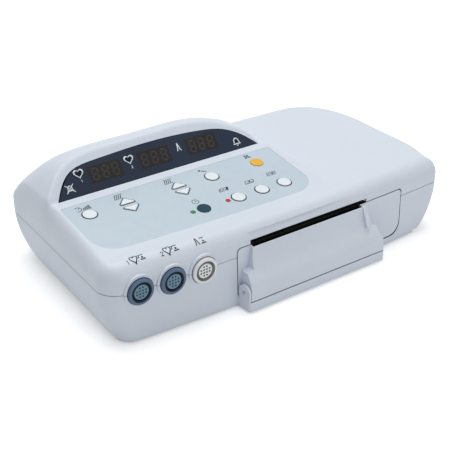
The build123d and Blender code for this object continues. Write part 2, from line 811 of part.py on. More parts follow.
def key_holes(grow):
    low = -2 * WALL
    faces = key_faces(grow).values()
    holes = [on_panel(*place, low) * extrude(face, amount=-2 * low) for place, face in faces]
    lamp_hole = extrude(Circle(LAMP_RADIUS + grow / 2), amount=-2 * low)
    holes += [on_panel(x, y, low) * lamp_hole for x, y in LAMPS.values()]
    return Part() + holes


KEY_FLANGE_TOP = -WALL - KEY_GAP
KEY_STEM_LOW = KEY_FLANGE_TOP - KEY_FLANGE_THICKNESS - KEY_STEM_LENGTH
SWITCH_TOP = KEY_STEM_LOW - KEY_TRAVEL - KEY_GAP
KEYPAD_BOARD_TOP = SWITCH_TOP - SWITCH_HEIGHT


def build_keys():
    caps = key_faces(0)
    flanges = key_faces(KEY_FLANGE)
    flange_low = KEY_FLANGE_TOP - KEY_FLANGE_THICKNESS
    for name, (place, face) in caps.items():
        cap = on_panel(*place, flange_low) * extrude(face, amount=KEY_PROUD - flange_low)
        flange = on_panel(*place, flange_low) * extrude(flanges[name][1], amount=KEY_FLANGE_THICKNESS)
        stem = extrude(Circle(KEY_STEM_RADIUS), amount=KEY_STEM_LENGTH + KEY_FLANGE_THICKNESS)
        PARTS[name] = cap + flange + on_panel(*key_centre(name), KEY_STEM_LOW) * stem


def build_panel():
    overlay = panel_prism(overlay_face(OVERLAY_GAP), -OVERLAY_RECESS, OVERLAY_THICKNESS - OVERLAY_RECESS)
    PARTS["keypad_overlay"] = overlay - key_holes(KEY_GAP)
    for name, (x, y) in LAMPS.items():
        lamp = extrude(Circle(LAMP_RADIUS), amount=LAMP_PROUD - KEYPAD_BOARD_TOP)
        lamp = fillet(lamp.edges().sort_by(Axis.Z)[-1], LAMP_PROUD)
        PARTS[name] = on_panel(x, y, KEYPAD_BOARD_TOP) * lamp
    PARTS["keypad_board"] = keypad_board() - screw_rods(keypad_screw_places(), POST_BORE)
    switch = extrude(Rectangle(SWITCH_SIDE, SWITCH_SIDE), amount=SWITCH_HEIGHT)
    switches = [on_panel(*key_centre(name), KEYPAD_BOARD_TOP) * switch for name in key_faces(0)]
    PARTS["key_switches"] = Compound(children=switches)


def keypad_span():
    x0 = OVERLAY_LEFT_X + KEYPAD_BOARD_MARGIN
    x1 = OVERLAY_RIGHT_X - KEYPAD_BOARD_MARGIN
    y0 = OVERLAY_FRONT_Y + KEYPAD_FRONT_MARGIN
    y1 = OVERLAY_BACK_Y - KEYPAD_BOARD_MARGIN / 2
    return x0, x1, y0, y1


def keypad_board():
    x0, x1, y0, y1 = keypad_span()
    depth = (y1 - y0) / cos(radians(PANEL_TILT))
    board = extrude(Rectangle(x1 - x0, depth), amount=BOARD_THICKNESS)
    return on_panel((x0 + x1) / 2, (y0 + y1) / 2, KEYPAD_BOARD_TOP - BOARD_THICKNESS) * board


def keypad_screw_places():
    x0, x1, y0, y1 = keypad_span()
    inset = KEYPAD_SCREW_INSET
    rows = (y0 + inset, (y0 + y1) / 2, y1 - inset / 2)
    return [on_panel(x, y) for x in (x0 + inset, x1 - inset) for y in rows]


def hung_bosses(places, low, high):
    """Bored bosses between two depths along the normal of each place."""
    tube = extrude(Circle(BOSS_RADIUS) - Circle(SCREW_SHANK), amount=high - low)
    return Part() + [place * Pos(0, 0, low) * tube for place in places]


def keypad_bosses():
    """Bosses under the panel that the keypad board is screwed to."""
    return hung_bosses(keypad_screw_places(), KEYPAD_BOARD_TOP, BOSS_ROOT - WALL)


def screw_rods(places, radius):
    """Rods through a board at its screw places, for its holes."""
    rod = Pos(0, 0, -SCREW_ROD) * extrude(Circle(radius), amount=SCREW_ROD)
    return Part() + [place * rod for place in places]


def hung_screws(places, board_top):
    """Pan-head screws put in from behind a hung board, one at each place."""
    under = board_top - BOARD_THICKNESS
    head = extrude(Circle(SCREW_HEAD_RADIUS), amount=SCREW_HEAD_HEIGHT)
    head = Pos(0, 0, under - SCREW_HEAD_HEIGHT) * head
    shank = Pos(0, 0, under) * extrude(Circle(SCREW_SHANK), amount=BOARD_THICKNESS + HUNG_GRIP)
    return [place * (head + shank) for place in places]


# Display: outline of the window as (x, distance up the slope)
WINDOW_ARCH = [
    (-206.4, 0.0),
    (-198.5, 10.5),
    (-181.0, 28.5),
    (-150.0, 37.4),
    (-82.0, 41.2),
    (-14.0, 37.4),
    (21.0, 27.6),
    (43.0, 12.0),
    (55.0, 0.0),
]
DIGITS = {"rate_digits_1": -141.7, "rate_digits_2": -79.3, "contraction_digits": -16.2}


def window_face(gap):
    """Window outline drawn in by gap: each point of the arch moves along its own normal."""
    points = [(WINDOW_ARCH[0][0] + 2.4 * gap, gap)]
    for before, here, after in zip(WINDOW_ARCH, WINDOW_ARCH[1:], WINDOW_ARCH[2:]):
        run = after[0] - before[0]
        rise = after[1] - before[1]
        chord = sqrt(run**2 + rise**2)
        points.append((here[0] + gap * rise / chord, here[1] - gap * run / chord))
    points.append((WINDOW_ARCH[-1][0] - 2.4 * gap, gap))
    return make_face([Spline(*points), Line(points[-1], points[0])])


def window_recess():
    return DISPLAY_PLANE * (Pos(0, 0, -WINDOW_RECESS) * extrude(window_face(0), amount=3 * WINDOW_RECESS))


def digit_blocks(grow, low, high):
    """Block for each digit module, grown all round by grow, between two depths."""
    face = Rectangle(DIGITS_WIDTH + 2 * grow, DIGITS_HEIGHT + 2 * grow)
    return {
        name: DISPLAY_PLANE * Pos(x, DIGITS_UP, low) * extrude(face, amount=high - low)
        for name, x in DIGITS.items()
    }


def digit_openings():
    return Part() + list(digit_blocks(DIGITS_GAP, -2 * DISPLAY_WALL, 0).values())


DISPLAY_SCREWS = [(-170.0, 13.0), (-110.5, DIGITS_UP), (-47.8, DIGITS_UP), (14.0, 13.0)]
DISPLAY_BOARD_X = (-177.0, 21.0)
DISPLAY_BOARD_UP = (6.0, 26.0)


def display_screw_places():
    return [DISPLAY_PLANE * Pos(x, v, 0) for x, v in DISPLAY_SCREWS]


def display_bosses():
    return hung_bosses(display_screw_places(), -DISPLAY_BOARD_SET_BACK, BOSS_ROOT - DISPLAY_WALL)


def build_display():
    window = extrude(window_face(WINDOW_GAP), amount=WINDOW_THICKNESS)
    PARTS["display_window"] = DISPLAY_PLANE * (Pos(0, 0, -WINDOW_RECESS) * window)
    x0, x1 = DISPLAY_BOARD_X
    v0, v1 = DISPLAY_BOARD_UP
    board_face = Pos((x0 + x1) / 2, (v0 + v1) / 2) * Rectangle(x1 - x0, v1 - v0)
    under = -DISPLAY_BOARD_SET_BACK - BOARD_THICKNESS
    board = DISPLAY_PLANE * (Pos(0, 0, under) * extrude(board_face, amount=BOARD_THICKNESS))
    PARTS["display_board"] = board - screw_rods(display_screw_places(), POST_BORE)
    PARTS.update(digit_blocks(0, -DISPLAY_BOARD_SET_BACK, -DISPLAY_BOARD_SET_BACK + DIGITS_DEPTH))


# Boards, chassis and their seats in the bottom shell

def board_corners(span_x, span_y):
    ends_y = (span_y[0] + BOSS_INSET, span_y[1] - BOSS_INSET)
    return [(x, y) for x in (span_x[0] + BOSS_INSET, span_x[1] - BOSS_INSET) for y in ends_y]


def floor_bosses(places, top):
    """Bored bosses that stand on the floor, rooted a little below its surface."""
    floor = PLINTH_Z + FLOOR
    bosses = [rod_z(floor - BOSS_ROOT, top, x, y, BOSS_RADIUS) for x, y in places]
    bores = [rod_z(floor, top, x, y, SCREW_SHANK) for x, y in places]
    return Part() + bosses - bores


def board_bosses(span_x, span_y, top):
    """Bored bosses on the floor under the corners of a board."""
    return floor_bosses(board_corners(span_x, span_y), top)


def flat_board(span_x, span_y, under):
    board = box(*span_x, *span_y, under, under + BOARD_THICKNESS)
    corners = board_corners(span_x, span_y)
    return board - [rod_z(under, under + BOARD_THICKNESS, x, y, POST_BORE) for x, y in corners]


def floor_screw(x, y, seat):
    """Pan-head screw put in from above, its head on the seat height."""
    head = rod_z(seat, seat + SCREW_HEAD_HEIGHT, x, y, SCREW_HEAD_RADIUS)
    return head + rod_z(seat - SCREW_GRIP, seat, x, y, SCREW_SHANK)


def chassis_tabs():
    """Places of the screws in the chassis feet."""
    left = CHASSIS_LEFT_X - CHASSIS_SHEET - TAB_WIDTH / 2
    right = CHASSIS_RIGHT_X + CHASSIS_SHEET + TAB_WIDTH / 2
    inset = TAB_WIDTH
    return [(x, y) for x in (left, right) for y in (CHASSIS_FRONT_Y + inset, CHASSIS_BACK_Y - inset)]


def chassis_bosses():
    return floor_bosses(chassis_tabs(), CHASSIS_Z)


def build_boards():
    PARTS["main_board"] = flat_board(MAIN_BOARD_X, MAIN_BOARD_Y, MAIN_BOARD_Z)
    top = MAIN_BOARD_Z + BOARD_THICKNESS
    x0, y0 = MAIN_BOARD_X[0], MAIN_BOARD_Y[0]
    chips = [box(x0 + x, x0 + x + w, y0 + y, y0 + y + d, top, top + h) for x, y, w, d, h in CHIPS]
    PARTS["board_components"] = Compound(children=chips)
    PARTS["power_supply_board"] = flat_board(SUPPLY_X, SUPPLY_Y, SUPPLY_Z)
    top = SUPPLY_Z + BOARD_THICKNESS
    x0, y0 = SUPPLY_X[0], SUPPLY_Y[0]
    x1 = x0 + CORE_X
    x2 = x1 + CORE_WIDTH
    y1 = y0 + CORE_Y
    core = box(x1, x2, y1, y1 + 2 * CORE_YOKE + 2 * CORE_WINDOW + CORE_LIMB, top, top + CORE_HEIGHT)
    low = top + CORE_YOKE
    high = top + CORE_HEIGHT - CORE_YOKE
    first = y1 + CORE_YOKE
    second = first + CORE_WINDOW + CORE_LIMB
    core -= box(x1, x2, first, first + CORE_WINDOW, low, high)
    core -= box(x1, x2, second, second + CORE_WINDOW, low, high)
    PARTS["transformer_core"] = core
    gap = PIECE_GAP
    winding = box(
        x1 - CORE_OVERHANG, x2 + CORE_OVERHANG, first + gap, second + CORE_WINDOW - gap, low + gap, high - gap
    )
    limb = box(x1 - gap, x2 + gap, first + CORE_WINDOW - gap, second + gap, low, high)
    PARTS["transformer_winding"] = winding - limb
    cans = [rod_z(top, top + h, x0 + x, y0 + y, r) for x, y, r, h in CANS]
    cans += [box(x0 + x, x0 + x + w, y0 + y, y0 + y + d, top, top + h) for x, y, w, d, h in HEAT_SINKS]
    PARTS["supply_components"] = Compound(children=cans)


def build_speaker():
    floor = PLINTH_Z + FLOOR
    top = floor + SPEAKER_RIM_HEIGHT
    x, y, r = SPEAKER_X, SPEAKER_Y, SPEAKER_RADIUS
    mouth = r - SPEAKER_RIM_WIDTH
    rim = rod_z(floor, top, x, y, r) - rod_z(floor, top, x, y, mouth)
    cup = Cone(r - 1, MAGNET_RADIUS - 1, BASKET_DEPTH)
    basket = Pos(x, y, top + BASKET_DEPTH / 2) * cup
    basket -= Pos(x, y, top + BASKET_DEPTH / 2 - BASKET_SHEET) * cup
    magnet = rod_z(top + BASKET_DEPTH - BASKET_SHEET, floor + SPEAKER_DEPTH, x, y, MAGNET_RADIUS)
    PARTS["speaker_frame"] = rim + basket + magnet
    bowl = Cone(mouth - CONE_SHEET / 2, CONE_NECK, CONE_DEPTH)
    cone = Pos(x, y, top + CONE_DEPTH / 2) * bowl - Pos(x, y, top + CONE_DEPTH / 2 - CONE_SHEET) * bowl
    surround = rod_z(top - CONE_SHEET, top, x, y, mouth)
    surround -= rod_z(top - CONE_SHEET, top, x, y, mouth - SURROUND_WIDTH)
    PARTS["speaker_cone"] = cone + surround


def speaker_grille():
    """Rings of holes in the floor under the speaker."""
    holes = [rod_z(0, PLINTH_Z + 2 * FLOOR, SPEAKER_X, SPEAKER_Y, GRILLE_HOLE)]
    for ring in (1, 2, 3):
        count = 6 * ring
        for i in range(count):
            turn = 2 * pi * i / count
            x = SPEAKER_X + ring * GRILLE_PITCH * cos(turn)
            y = SPEAKER_Y + ring * GRILLE_PITCH * sin(turn)
            holes.append(rod_z(0, PLINTH_Z + 2 * FLOOR, x, y, GRILLE_HOLE))
    return Part() + holes


# Front sockets

def build_sockets():
    nuts = []
    names = ["ultrasound_socket_1", "ultrasound_socket_2", "contraction_socket"]
    for name, (x, seat) in zip(names, socket_places()):
        face = seat - SOCKET_FLANGE
        floor = face + SOCKET_GROOVE_DEPTH
        rim = rod_y(face, seat, x, PARTING_Z, SOCKET_RADIUS)
        rim += rod_y(seat, seat + SOCKET_BODY_LENGTH, x, PARTING_Z, SOCKET_BODY_RADIUS)
        rim = chamfer(rim.edges().filter_by(GeomType.CIRCLE).sort_by(Axis.Y)[0], SOCKET_CHAMFER)
        rim -= rod_y(face, floor, x, PARTING_Z, SOCKET_GROOVE_RADIUS)
        tab_low = PARTING_Z + SOCKET_INSERT_RADIUS + PIECE_GAP
        tab_high = PARTING_Z + SOCKET_GROOVE_RADIUS + PIECE_GAP
        half = SOCKET_KEY_WIDTH / 2
        rim += box(x - half, x + half, face + SOCKET_KEY_SET_BACK, floor, tab_low, tab_high)
        PARTS[name + "_rim"] = rim
        insert = rod_y(face + SOCKET_INSERT_SET_BACK, floor, x, PARTING_Z, SOCKET_INSERT_RADIUS)
        hole_low = face + SOCKET_INSERT_SET_BACK
        for row, count in enumerate((2, 4, 4, 2)):
            z = PARTING_Z + (1.5 - row) * SOCKET_HOLE_PITCH
            for i in range(count):
                hole_x = x + (i - (count - 1) / 2) * SOCKET_HOLE_PITCH
                insert -= rod_y(hole_low, hole_low + SOCKET_HOLE_DEPTH, hole_x, z, SOCKET_HOLE_RADIUS)
        PARTS[name + "_insert"] = insert
        nut_y = seat + SOCKET_SEAT_DEPTH
        nut_end = nut_y + SOCKET_NUT_THICKNESS
        nut = rod_y(nut_y, nut_end, x, PARTING_Z, SOCKET_NUT_RADIUS)
        nuts.append(nut - rod_y(nut_y, nut_end, x, PARTING_Z, SOCKET_BODY_RADIUS + RUNNING_GAP))
    PARTS["socket_nuts"] = Compound(children=nuts)


# Recorder door

def chute_profile(inset, top_z, back_y):
    """Side view of the chute in (y, z), drawn in by inset: a skirt down to a straight foot."""
    top = (CHUTE_LIP_Y + inset, top_z)
    middle = (CHUTE_MID_Y + inset, CHUTE_STEP_Z)
    knee = (CHUTE_FOOT_Y + inset, CHUTE_STRAIGHT_Z)
    toe = (CHUTE_FOOT_Y + inset, CHUTE_FOOT_Z + inset)
    heel = (back_y, CHUTE_FOOT_Z + inset)
    head = (back_y, top_z)
    skirt = Spline(top, middle, knee, tangents=[(-0.2, -1), (0, -1)])
    return make_face([skirt, Line(knee, toe), Line(toe, heel), Line(heel, head), Line(head, top)])


def chute_outline(inset, top_z):
    """Front view of the chute in (x, z), drawn in by inset."""
    low = CHUTE_FOOT_Z + inset
    shoulder_z = CHUTE_STEP_Z - CHUTE_SHOULDER_DROP - inset
    points = [
        (CHUTE_LEFT_X + inset, top_z),
        (CHUTE_LEFT_X - CHUTE_FLARE / 2 + inset, CHUTE_STEP_Z - inset),
        (CHUTE_WIDE_LEFT_X + inset, shoulder_z),
        (CHUTE_WIDE_LEFT_X + inset, low),
        (CHUTE_WIDE_RIGHT_X - inset, low),
        (CHUTE_SHOULDER_X - inset, shoulder_z),
        (CHUTE_RIGHT_X + CHUTE_FLARE - inset, CHUTE_STEP_Z - inset),
        (CHUTE_RIGHT_X - inset, top_z),
    ]
    return make_face(Polyline(*points, close=True))


def chute_block(inset, top_z, back_y):
    side = Plane((-CASE_HALF_WIDTH, 0, 0), x_dir=(0, 1, 0), z_dir=(1, 0, 0))
    sideways = extrude(side * chute_profile(inset, top_z, back_y), amount=2 * CASE_HALF_WIDTH)
    return sideways & prism_y(chute_outline(inset, top_z), LIP_FRONT_Y, back_y)


def chute_cheek():
    """Slanting cheek on the chute's right side, from the end of its lip back to the panel."""
    lip_z = DOOR_TOP_Z - CHUTE_LIP_DROP
    step_x = CHUTE_RIGHT_X + CHUTE_FLARE
    lip_end = Vector(CHUTE_RIGHT_X, CHUTE_LIP_Y, lip_z)
    panel_end = Vector(SLOT_RIGHT_X, FRONT_Y + FRONT_BOW * (SLOT_RIGHT_X / CASE_HALF_WIDTH) ** 2, lip_z)
    step_end = Vector(step_x, CHUTE_MID_Y, CHUTE_STEP_Z)
    slant = (panel_end - lip_end).cross(step_end - lip_end)
    middle_x = CHUTE_LEFT_X + PAPER_WIDTH / 2
    cheek = box(middle_x, SLOT_RIGHT_X, CHUTE_FOOT_Y, panel_end.Y + WALL / 2, CHUTE_STEP_Z, lip_z)
    if slant.Y > 0:
        slant = -slant
    outside = extrude(Plane(lip_end, z_dir=slant) * Rectangle(CASE_HALF_WIDTH, CASE_HALF_WIDTH), amount=BACK_Y)
    return cheek - outside - box(middle_x, CHUTE_RIGHT_X - CHUTE_WALL, CHUTE_FOOT_Y, BACK_Y, PLINTH_Z, TOP_Z)


def chute_solid():
    return chute_block(0, DOOR_TOP_Z - CHUTE_LIP_DROP, FRONT_Y + FRONT_BOW / 2)


def chute_hollow():
    """Hollow behind the chute's skin, open at the back and at the top."""
    return chute_block(CHUTE_WALL, DOOR_TOP_Z + WALL, FRONT_Y + 2 * FRONT_BOW)


def arm_spans():
    """Left and right arm of the door that carry the roller, as pairs of x."""
    left = PAPER_X - PAPER_WIDTH / 2 - ARM_GAP
    right = PAPER_X + PAPER_WIDTH / 2 + ARM_GAP
    return [(left - ARM_THICKNESS, left), (right, right + ARM_THICKNESS)]


def door_arm(x0, x1):
    half = BUSH_RADIUS + ARM_RIM
    web = box(x0, x1, FRONT_Y + WALL / 2, ROLLER_Y, ROLLER_Z - half, ROLLER_Z + half)
    return web + rod_x(x0, x1, ROLLER_Y, ROLLER_Z, half) - rod_x(x0, x1, ROLLER_Y, ROLLER_Z, BUSH_RADIUS)


def build_door():
    block = door_block(DOOR_GAP)
    door = (block & HULL) + (block & UPPER)
    door -= CAVITY_LOW
    door -= CAVITY_HIGH
    door += chute_solid()
    door += chute_cheek()
    door -= chute_hollow()
    for x0, x1 in arm_spans():
        door += door_arm(x0, x1)
    for end, inward in ((CHUTE_WIDE_LEFT_X, 1), (CHUTE_WIDE_RIGHT_X, -1)):
        x0, x1 = sorted((end, end + inward * (PIN_REACH + PIN_ROOM)))
        door += rod_x(x0, x1, HINGE_Y, HINGE_Z, PIN_BOSS_RADIUS)
        door -= rod_x(x0, x1, HINGE_Y, HINGE_Z, PIN_RADIUS + RUNNING_GAP)
    left_x = CHUTE_WIDE_LEFT_X - EAR_GAP - EAR_THICKNESS
    right_x = CHUTE_WIDE_RIGHT_X + EAR_GAP + SMALL_EAR_THICKNESS
    # Shallow round seat in the panel beside the large ear, so that the panel swings past it
    door -= rod_x(left_x - EAR_GAP, CHUTE_WIDE_LEFT_X, HINGE_Y, HINGE_Z, EAR_RADIUS + EAR_GAP)
    PARTS["recorder_door"] = door
    pins = [
        rod_x(left_x, CHUTE_WIDE_LEFT_X + PIN_REACH, HINGE_Y, HINGE_Z, PIN_RADIUS),
        rod_x(CHUTE_WIDE_RIGHT_X - PIN_REACH, right_x, HINGE_Y, HINGE_Z, PIN_RADIUS),
    ]
    PARTS["hinge_pins"] = Compound(children=pins)


# Recorder mechanism

PAPER_X = (CHUTE_LEFT_X + CHUTE_RIGHT_X) / 2
GEAR_X = CHASSIS_RIGHT_X + CHASSIS_SHEET + GEAR_GAP


def involute(angle):
    return tan(angle) - angle


def gear(teeth, phase, y, z, bore):
    """Spur gear across the X axis, with involute flanks and one tooth at angle phase."""
    pitch = GEAR_MODULE * teeth / 2
    pressure = radians(PRESSURE_ANGLE)
    base = pitch * cos(pressure)
    tip = pitch + GEAR_MODULE
    root = pitch - 1.25 * GEAR_MODULE
    half_pitch = pi / (2 * teeth) - GEAR_BACKLASH / (2 * pitch)
    flank = []
    for i in range(4):
        radius = max(base, root) + (tip - max(base, root)) * i / 3
        half = half_pitch + involute(pressure) - involute(acos(min(1.0, base / radius)))
        flank.append((radius, half))
    points = []
    for k in range(teeth):
        centre = phase + 2 * pi * k / teeth
        side = [(root, flank[0][1])] + flank
        points += [(r * cos(centre - h), r * sin(centre - h)) for r, h in side]
        points += [(r * cos(centre + h), r * sin(centre + h)) for r, h in reversed(side)]
    face = make_face(Polyline(*points, close=True)) - Circle(bore)
    plane = Plane((GEAR_X, y, z), x_dir=(0, 1, 0), z_dir=(1, 0, 0))
    return extrude(plane * face, amount=GEAR_WIDTH)


def gear_distance(teeth_a, teeth_b):
    return GEAR_MODULE * (teeth_a + teeth_b) / 2 + GEAR_SPREAD


def gear_places():
    """Centre and tooth phase of the roller gear, the idler and the motor pinion."""
    idler_way = radians(IDLER_ANGLE)
    reach = gear_distance(ROLLER_TEETH, IDLER_TEETH)
    idler = (ROLLER_Y + reach * cos(idler_way), ROLLER_Z + reach * sin(idler_way))
    motor_way = radians(MOTOR_ANGLE)
    reach = gear_distance(IDLER_TEETH, PINION_TEETH)
    motor = (idler[0] + reach * cos(motor_way), idler[1] + reach * sin(motor_way))
    idler_phase = idler_way + pi + pi / IDLER_TEETH
    tooth = 2 * pi / IDLER_TEETH
    past = (motor_way - idler_phase) % tooth
    pinion_phase = motor_way + pi + pi / PINION_TEETH + past * IDLER_TEETH / PINION_TEETH
    return (ROLLER_Y, ROLLER_Z, idler_way), (*idler, idler_phase), (*motor, pinion_phase)


def chassis_side(x0):
    outline = [
        (CHASSIS_FRONT_Y, CHASSIS_Z),
        (CHASSIS_BACK_Y, CHASSIS_Z),
        (CHASSIS_BACK_Y, WELL_TOP_Z),
        (CHASSIS_BACK_Y - (CHASSIS_TOP_Z - WELL_TOP_Z), CHASSIS_TOP_Z),
        (CHASSIS_FRONT_Y + CHASSIS_CUT, CHASSIS_TOP_Z),
        (CHASSIS_FRONT_Y, CHASSIS_TOP_Z - CHASSIS_CUT),
    ]
    return prism_x(outline, x0, x0 + CHASSIS_SHEET)


def build_recorder():
    roller_place, idler_place, motor_place = gear_places()
    left_outer = CHASSIS_LEFT_X - CHASSIS_SHEET
    right_outer = CHASSIS_RIGHT_X + CHASSIS_SHEET
    chassis = chassis_side(left_outer) + chassis_side(CHASSIS_RIGHT_X)
    floor = CHASSIS_Z + CHASSIS_SHEET
    chassis += box(
        left_outer - TAB_WIDTH, right_outer + TAB_WIDTH, CHASSIS_FRONT_Y, CHASSIS_BACK_Y, CHASSIS_Z, floor
    )
    chassis -= [rod_z(CHASSIS_Z, floor, x, y, POST_BORE) for x, y in chassis_tabs()]
    chassis -= rod_x(CHASSIS_RIGHT_X, right_outer, motor_place[0], motor_place[1], MOTOR_HOLE_RADIUS)
    chassis -= rod_x(CHASSIS_RIGHT_X, right_outer, idler_place[0], idler_place[1], MOTOR_SHAFT_RADIUS)
    PARTS["recorder_chassis"] = chassis

    x0 = CHASSIS_LEFT_X + WELL_SIDE_GAP
    x1 = CHASSIS_RIGHT_X - WELL_SIDE_GAP
    well = box(x0, x1, CHASSIS_FRONT_Y, WELL_BACK_Y, floor, WELL_TOP_Z)
    x0 += WELL_WALL
    x1 -= WELL_WALL
    front = CHASSIS_FRONT_Y + WELL_WALL
    well -= box(x0, x1, front, WELL_BACK_Y - WELL_WALL, floor + WELL_WALL, WELL_TOP_Z)
    well -= box(x0, x1, CHASSIS_FRONT_Y, front, floor + 3 * WELL_WALL, WELL_TOP_Z)
    PARTS["paper_well"] = well

    head_face = ROLLER_Y + ROLLER_RADIUS + PIECE_GAP
    head_back = head_face + HEAD_THICKNESS
    head_x = (PAPER_X - PAPER_WIDTH / 2, PAPER_X + PAPER_WIDTH / 2)
    half = HEAD_HALF_HEIGHT
    PARTS["print_head"] = box(*head_x, head_face, head_back, ROLLER_Z - half, ROLLER_Z + half)
    half += HEAT_SINK_EDGE
    sink_back = head_back + HEAT_SINK_DEPTH
    sink = box(CHASSIS_LEFT_X, CHASSIS_RIGHT_X, head_back, sink_back, ROLLER_Z - half, ROLLER_Z + half)
    for i in range(4):
        low = ROLLER_Z + (i - 1.5) * HEAT_SINK_PITCH - HEAT_SINK_PITCH / 4
        root = head_back + HEAT_SINK_ROOT
        sink -= box(*head_x, root, sink_back, low, low + HEAT_SINK_PITCH / 2)
    PARTS["head_heat_sink"] = sink

    half = MOTOR_SIDE / 2
    motor_x = CHASSIS_RIGHT_X - MOTOR_DEPTH
    y, z, phase = motor_place
    motor = box(motor_x, CHASSIS_RIGHT_X, y - half, y + half, z - half, z + half)
    motor = chamfer(motor.edges().filter_by(Axis.X), MOTOR_CHAMFER)
    shaft_start = motor_x + MOTOR_DEPTH / 2
    motor -= rod_x(shaft_start, CHASSIS_RIGHT_X, y, z, MOTOR_SHAFT_RADIUS + RUNNING_GAP)
    PARTS["stepper_motor"] = motor
    pinion = gear(PINION_TEETH, phase, y, z, MOTOR_SHAFT_RADIUS / 2)
    shaft_end = GEAR_X + GEAR_WIDTH + PIECE_GAP
    PARTS["motor_pinion"] = pinion + rod_x(shaft_start + PIECE_GAP, shaft_end, y, z, MOTOR_SHAFT_RADIUS)

    y, z, phase = idler_place
    clip_x = GEAR_X + GEAR_WIDTH + PIECE_GAP
    axle = rod_x(CHASSIS_RIGHT_X, clip_x, y, z, MOTOR_SHAFT_RADIUS)
    axle += rod_x(right_outer, GEAR_X - PIECE_GAP, y, z, AXLE_COLLAR_RADIUS)
    axle += rod_x(clip_x, clip_x + AXLE_CLIP, y, z, AXLE_COLLAR_RADIUS)
    PARTS["idler_axle"] = axle
    PARTS["idler_gear"] = gear(IDLER_TEETH, phase, y, z, MOTOR_SHAFT_RADIUS + RUNNING_GAP)

    y, z, phase = roller_place
    spans = arm_spans()
    PARTS["platen_shaft"] = rod_x(spans[0][0] - SHAFT_OVERHANG, shaft_end, y, z, SHAFT_RADIUS)
    roller = rod_x(*head_x, y, z, ROLLER_RADIUS) - rod_x(*head_x, y, z, SHAFT_RADIUS)
    PARTS["platen_roller"] = roller
    PARTS["platen_gear"] = gear(ROLLER_TEETH, phase, y, z, SHAFT_RADIUS)
    bushes = [
        rod_x(a, b, y, z, BUSH_RADIUS) - rod_x(a, b, y, z, SHAFT_RADIUS + RUNNING_GAP)
        for a, b in spans
    ]
    PARTS["roller_bushes"] = Compound(children=bushes)


# Rear fittings

def rear_cutouts():
    plate = (NICHE_BACK_Y - 2 * WALL, NICHE_BACK_Y + 1)
    half_w = INLET_WIDTH / 2 + FIT_GAP
    half_h = INLET_HEIGHT / 2 + FIT_GAP
    inlet = box(INLET_X - half_w, INLET_X + half_w, *plate, INLET_Z - half_h, INLET_Z + half_h)
    half_w = DATA_BODY[0] / 2 + FIT_GAP
    half_h = DATA_BODY[1] / 2 + FIT_GAP
    data = box(DATA_X - half_w, DATA_X + half_w, *plate, INLET_Z - half_h, INLET_Z + half_h)
    marker = rod_y(*plate, MARKER_X, INLET_Z, MARKER_RADIUS + FIT_GAP)
    return inlet + data + marker


def build_rear():
    face = NICHE_BACK_Y
    half_w = INLET_WIDTH / 2
    half_h = INLET_HEIGHT / 2
    back = face - INLET_DEPTH
    front = face + INLET_FLANGE
    inlet = box(INLET_X - half_w, INLET_X + half_w, back, face, INLET_Z - half_h, INLET_Z + half_h)
    flange_w = half_w + INLET_FLANGE
    flange_h = half_h + INLET_FLANGE
    inlet += box(INLET_X - flange_w, INLET_X + flange_w, face, front, INLET_Z - flange_h, INLET_Z + flange_h)
    half_w = MOUTH_WIDTH / 2
    mouth_z = (INLET_Z - MOUTH_DROP, INLET_Z + half_h - INLET_RIM)
    mouth = box(INLET_X - half_w, INLET_X + half_w, front - MOUTH_DEPTH, front, *mouth_z)
    inlet -= chamfer(mouth.edges().filter_by(Axis.Y).sort_by(Axis.Z)[-2:], MOUTH_CHAMFER)
    drawer_z = (INLET_Z - half_h + INLET_RIM, INLET_Z - MOUTH_DROP - INLET_RIM)
    inlet -= box(INLET_X - half_w, INLET_X + half_w, back + INLET_RIM, front, *drawer_z)
    PARTS["mains_inlet"] = inlet
    middle = (mouth_z[0] + mouth_z[1]) / 2
    pin = Box(PIN_WIDTH, MOUTH_DEPTH - PIN_SET_BACK, 2 * PIN_WIDTH)
    pin_y = front - (MOUTH_DEPTH + PIN_SET_BACK) / 2
    places = ((-PIN_PITCH, PIN_DROP), (0, EARTH_PIN_UP), (PIN_PITCH, PIN_DROP))
    pins = [Pos(INLET_X + dx, pin_y, middle + dz) * pin for dx, dz in places]
    PARTS["inlet_pins"] = Compound(children=pins)
    half_w -= PIECE_GAP
    PARTS["fuse_drawer"] = box(
        INLET_X - half_w,
        INLET_X + half_w,
        back + INLET_RIM + PIECE_GAP,
        front + DRAWER_PROUD,
        drawer_z[0] + PIECE_GAP,
        drawer_z[1] - PIECE_GAP,
    )
    PARTS["data_socket"] = data_socket(face)
    jack = rod_y(face - JACK_DEPTH, face + JACK_NOSE, MARKER_X, INLET_Z, MARKER_RADIUS)
    jack += rod_y(face, face + JACK_FLANGE, MARKER_X, INLET_Z, MARKER_RADIUS + JACK_FLANGE)
    jack -= rod_y(face - JACK_BORE_DEPTH, face + JACK_NOSE, MARKER_X, INLET_Z, MARKER_BORE)
    PARTS["marker_jack"] = jack


